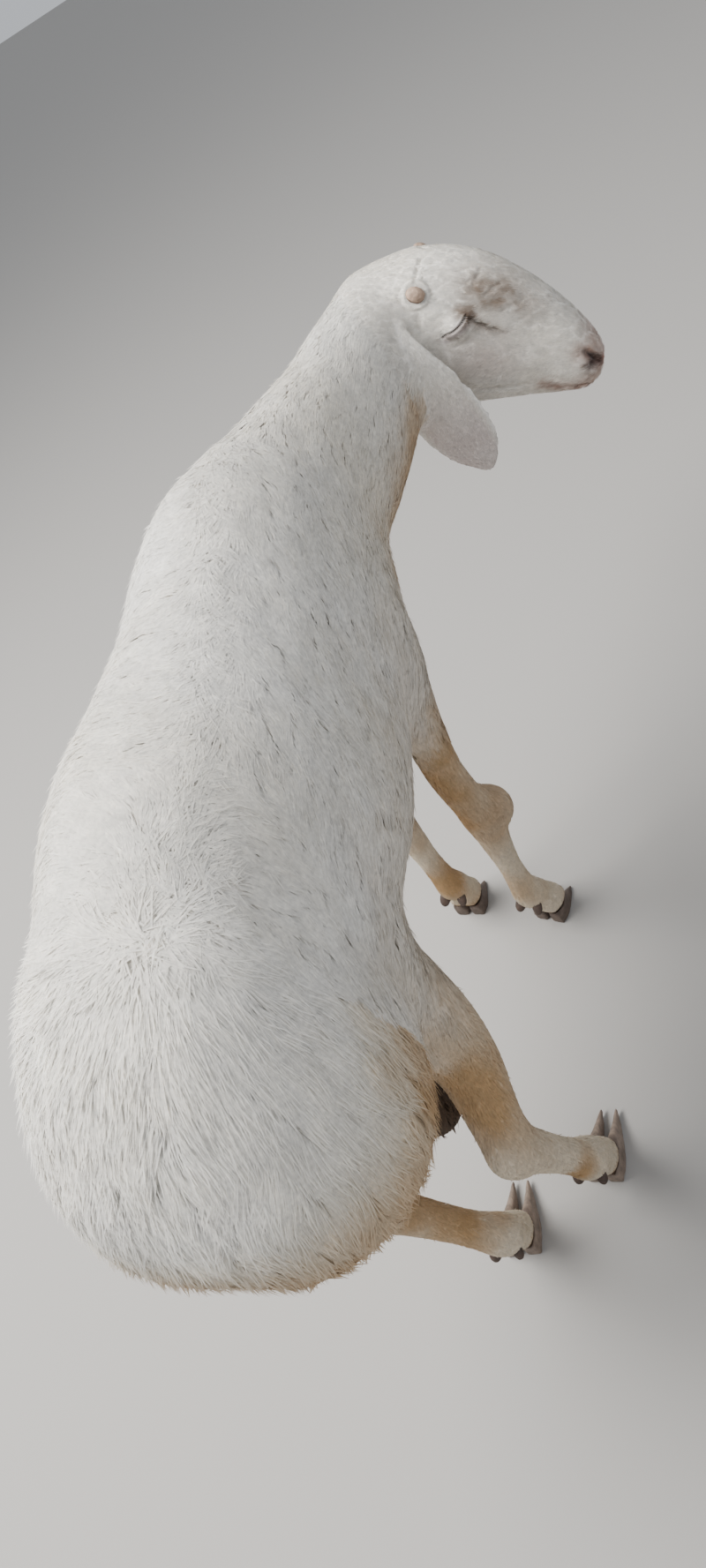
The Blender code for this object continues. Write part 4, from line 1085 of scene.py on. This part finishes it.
for side_name, side_sign in SIDES:
    eyeball = nodes["eye_" + side_name]
    eyeball.material_slots[0].material = eye_look
    ball = middle_of("eye_" + side_name)
    rng = np.random.default_rng(51)
    dots, share = along_path(SLIT, LASHES + 2)
    bm = bmesh.new()
    for number in range(1, LASHES + 1):
        along, left, up = dots[number]
        foot = hide.find_nearest(from_head(along - 0.0006, left * side_sign, up + 0.0004))[0]
        out = (foot - ball).normalized()
        fan = (share[number] - 0.5) * 0.9 + rng.normal(0.0, 0.12)
        way = (nose_way * 0.86 + head_up * (-0.20 + 0.45 * fan) + out * 0.38).normalized()
        long = LASH_LENGTH * (0.75 + 0.45 * rng.random()) * (1.0 - 0.35 * abs(share[number] - 0.5))
        across = way.cross(out).normalized()
        thick = across.cross(way)
        rings = []
        for step in range(LASH_STEPS):
            t = step / LASH_STEPS
            spot = foot - out * LASH_ROOT + way * (long * t) - out * (LASH_DROOP * long * t * t)
            reach = LASH_WIDTH / 2.0 * (1.0 - 0.8 * t)
            rings.append([bm.verts.new(spot + across * (reach * math.cos(a))
                                       + thick * (reach * math.sin(a)))
                          for a in (0.0, THIRD_TURN, 2.0 * THIRD_TURN)])
        tip = bm.verts.new(foot + way * long - out * (LASH_DROOP * long))
        for low_ring, high_ring in zip(rings, rings[1:]):
            for k in range(3):
                bm.faces.new((low_ring[k], low_ring[k - 2], high_ring[k - 2], high_ring[k]))
        for k in range(3):
            bm.faces.new((rings[-1][k], rings[-1][k - 2], tip))
    mesh = bpy.data.meshes.new("lashes")
    bm.to_mesh(mesh)
    bm.free()
    paint(mesh, np.tile(np.array(WHITE) * 0.98, (len(mesh.vertices), 1)))
    mesh.shade_smooth()
    piece = new_piece("lashes_" + side_name, mesh, hair_look)
    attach(piece, "root")

# =============================================================== stage
# A plain pale floor, a large soft light overhead, a weaker one from the camera's side,
# and the camera at a standing person's chest height, looking down on the ram's rump.
CAMERA_AT = head_root + Vector((-1.314, -0.585, 0.610))
CAMERA_HEADING = math.radians(40.3)     # from the way the ram faces, towards its left
CAMERA_DIP = math.radians(41.0)         # below level
CAMERA_ROLL = math.radians(39.9)        # its right edge is the lower one
LENS = 27.05                            # mm, with a sensor 36 mm tall

floor_look, tree, shader = new_material("pale_floor")
set_inputs(shader, Base_Color=(0.40, 0.385, 0.365, 1.0), Roughness=0.9)
floor_mesh = bpy.data.meshes.new("floor")
floor_mesh.from_pydata([(-9, -9, 0), (9, -9, 0), (9, 9, 0), (-9, 9, 0)], [], [(0, 1, 2, 3)])
floor = new_piece("floor", floor_mesh, floor_look)

world = bpy.data.worlds.new("studio")
scene.world = world
world.use_nodes = True
set_inputs(world.node_tree.nodes["Background"], Color=(0.90, 0.94, 1.0, 1.0), Strength=0.62)


def soft_light(name, place, towards, size, power, colour):
    light = bpy.data.lights.new(name, "AREA")
    light.shape = "SQUARE"
    light.size = size
    light.energy = power
    light.color = colour
    lamp = bpy.data.objects.new(name, light)
    lamp.location = place
    lamp.rotation_euler = (Vector(towards) - Vector(place)).to_track_quat("-Z", "Y").to_euler()
    scene.collection.objects.link(lamp)


soft_light("overhead", (-0.5, 1.5, 3.0), (0.0, 0.0, 0.5), 2.4, 245.0, (1.0, 0.985, 0.96))
soft_light("side_fill", (-1.8, -2.6, 1.8), (0.0, 0.0, 0.5), 2.2, 16.0, (0.95, 0.97, 1.0))

camera = bpy.data.objects.new("camera", bpy.data.cameras.new("camera"))
camera.data.sensor_width = 36.0
camera.data.lens = LENS
look = pointing(CAMERA_HEADING, -CAMERA_DIP)
level = look.cross(UP).normalized()
upright = level.cross(look)
right_edge = level * math.cos(CAMERA_ROLL) - upright * math.sin(CAMERA_ROLL)
top_edge = upright * math.cos(CAMERA_ROLL) + level * math.sin(CAMERA_ROLL)
turn = Matrix((right_edge, top_edge, -look)).transposed()
camera.matrix_world = Matrix.Translation(CAMERA_AT) @ turn.to_4x4()
scene.collection.objects.link(camera)
scene.camera = camera
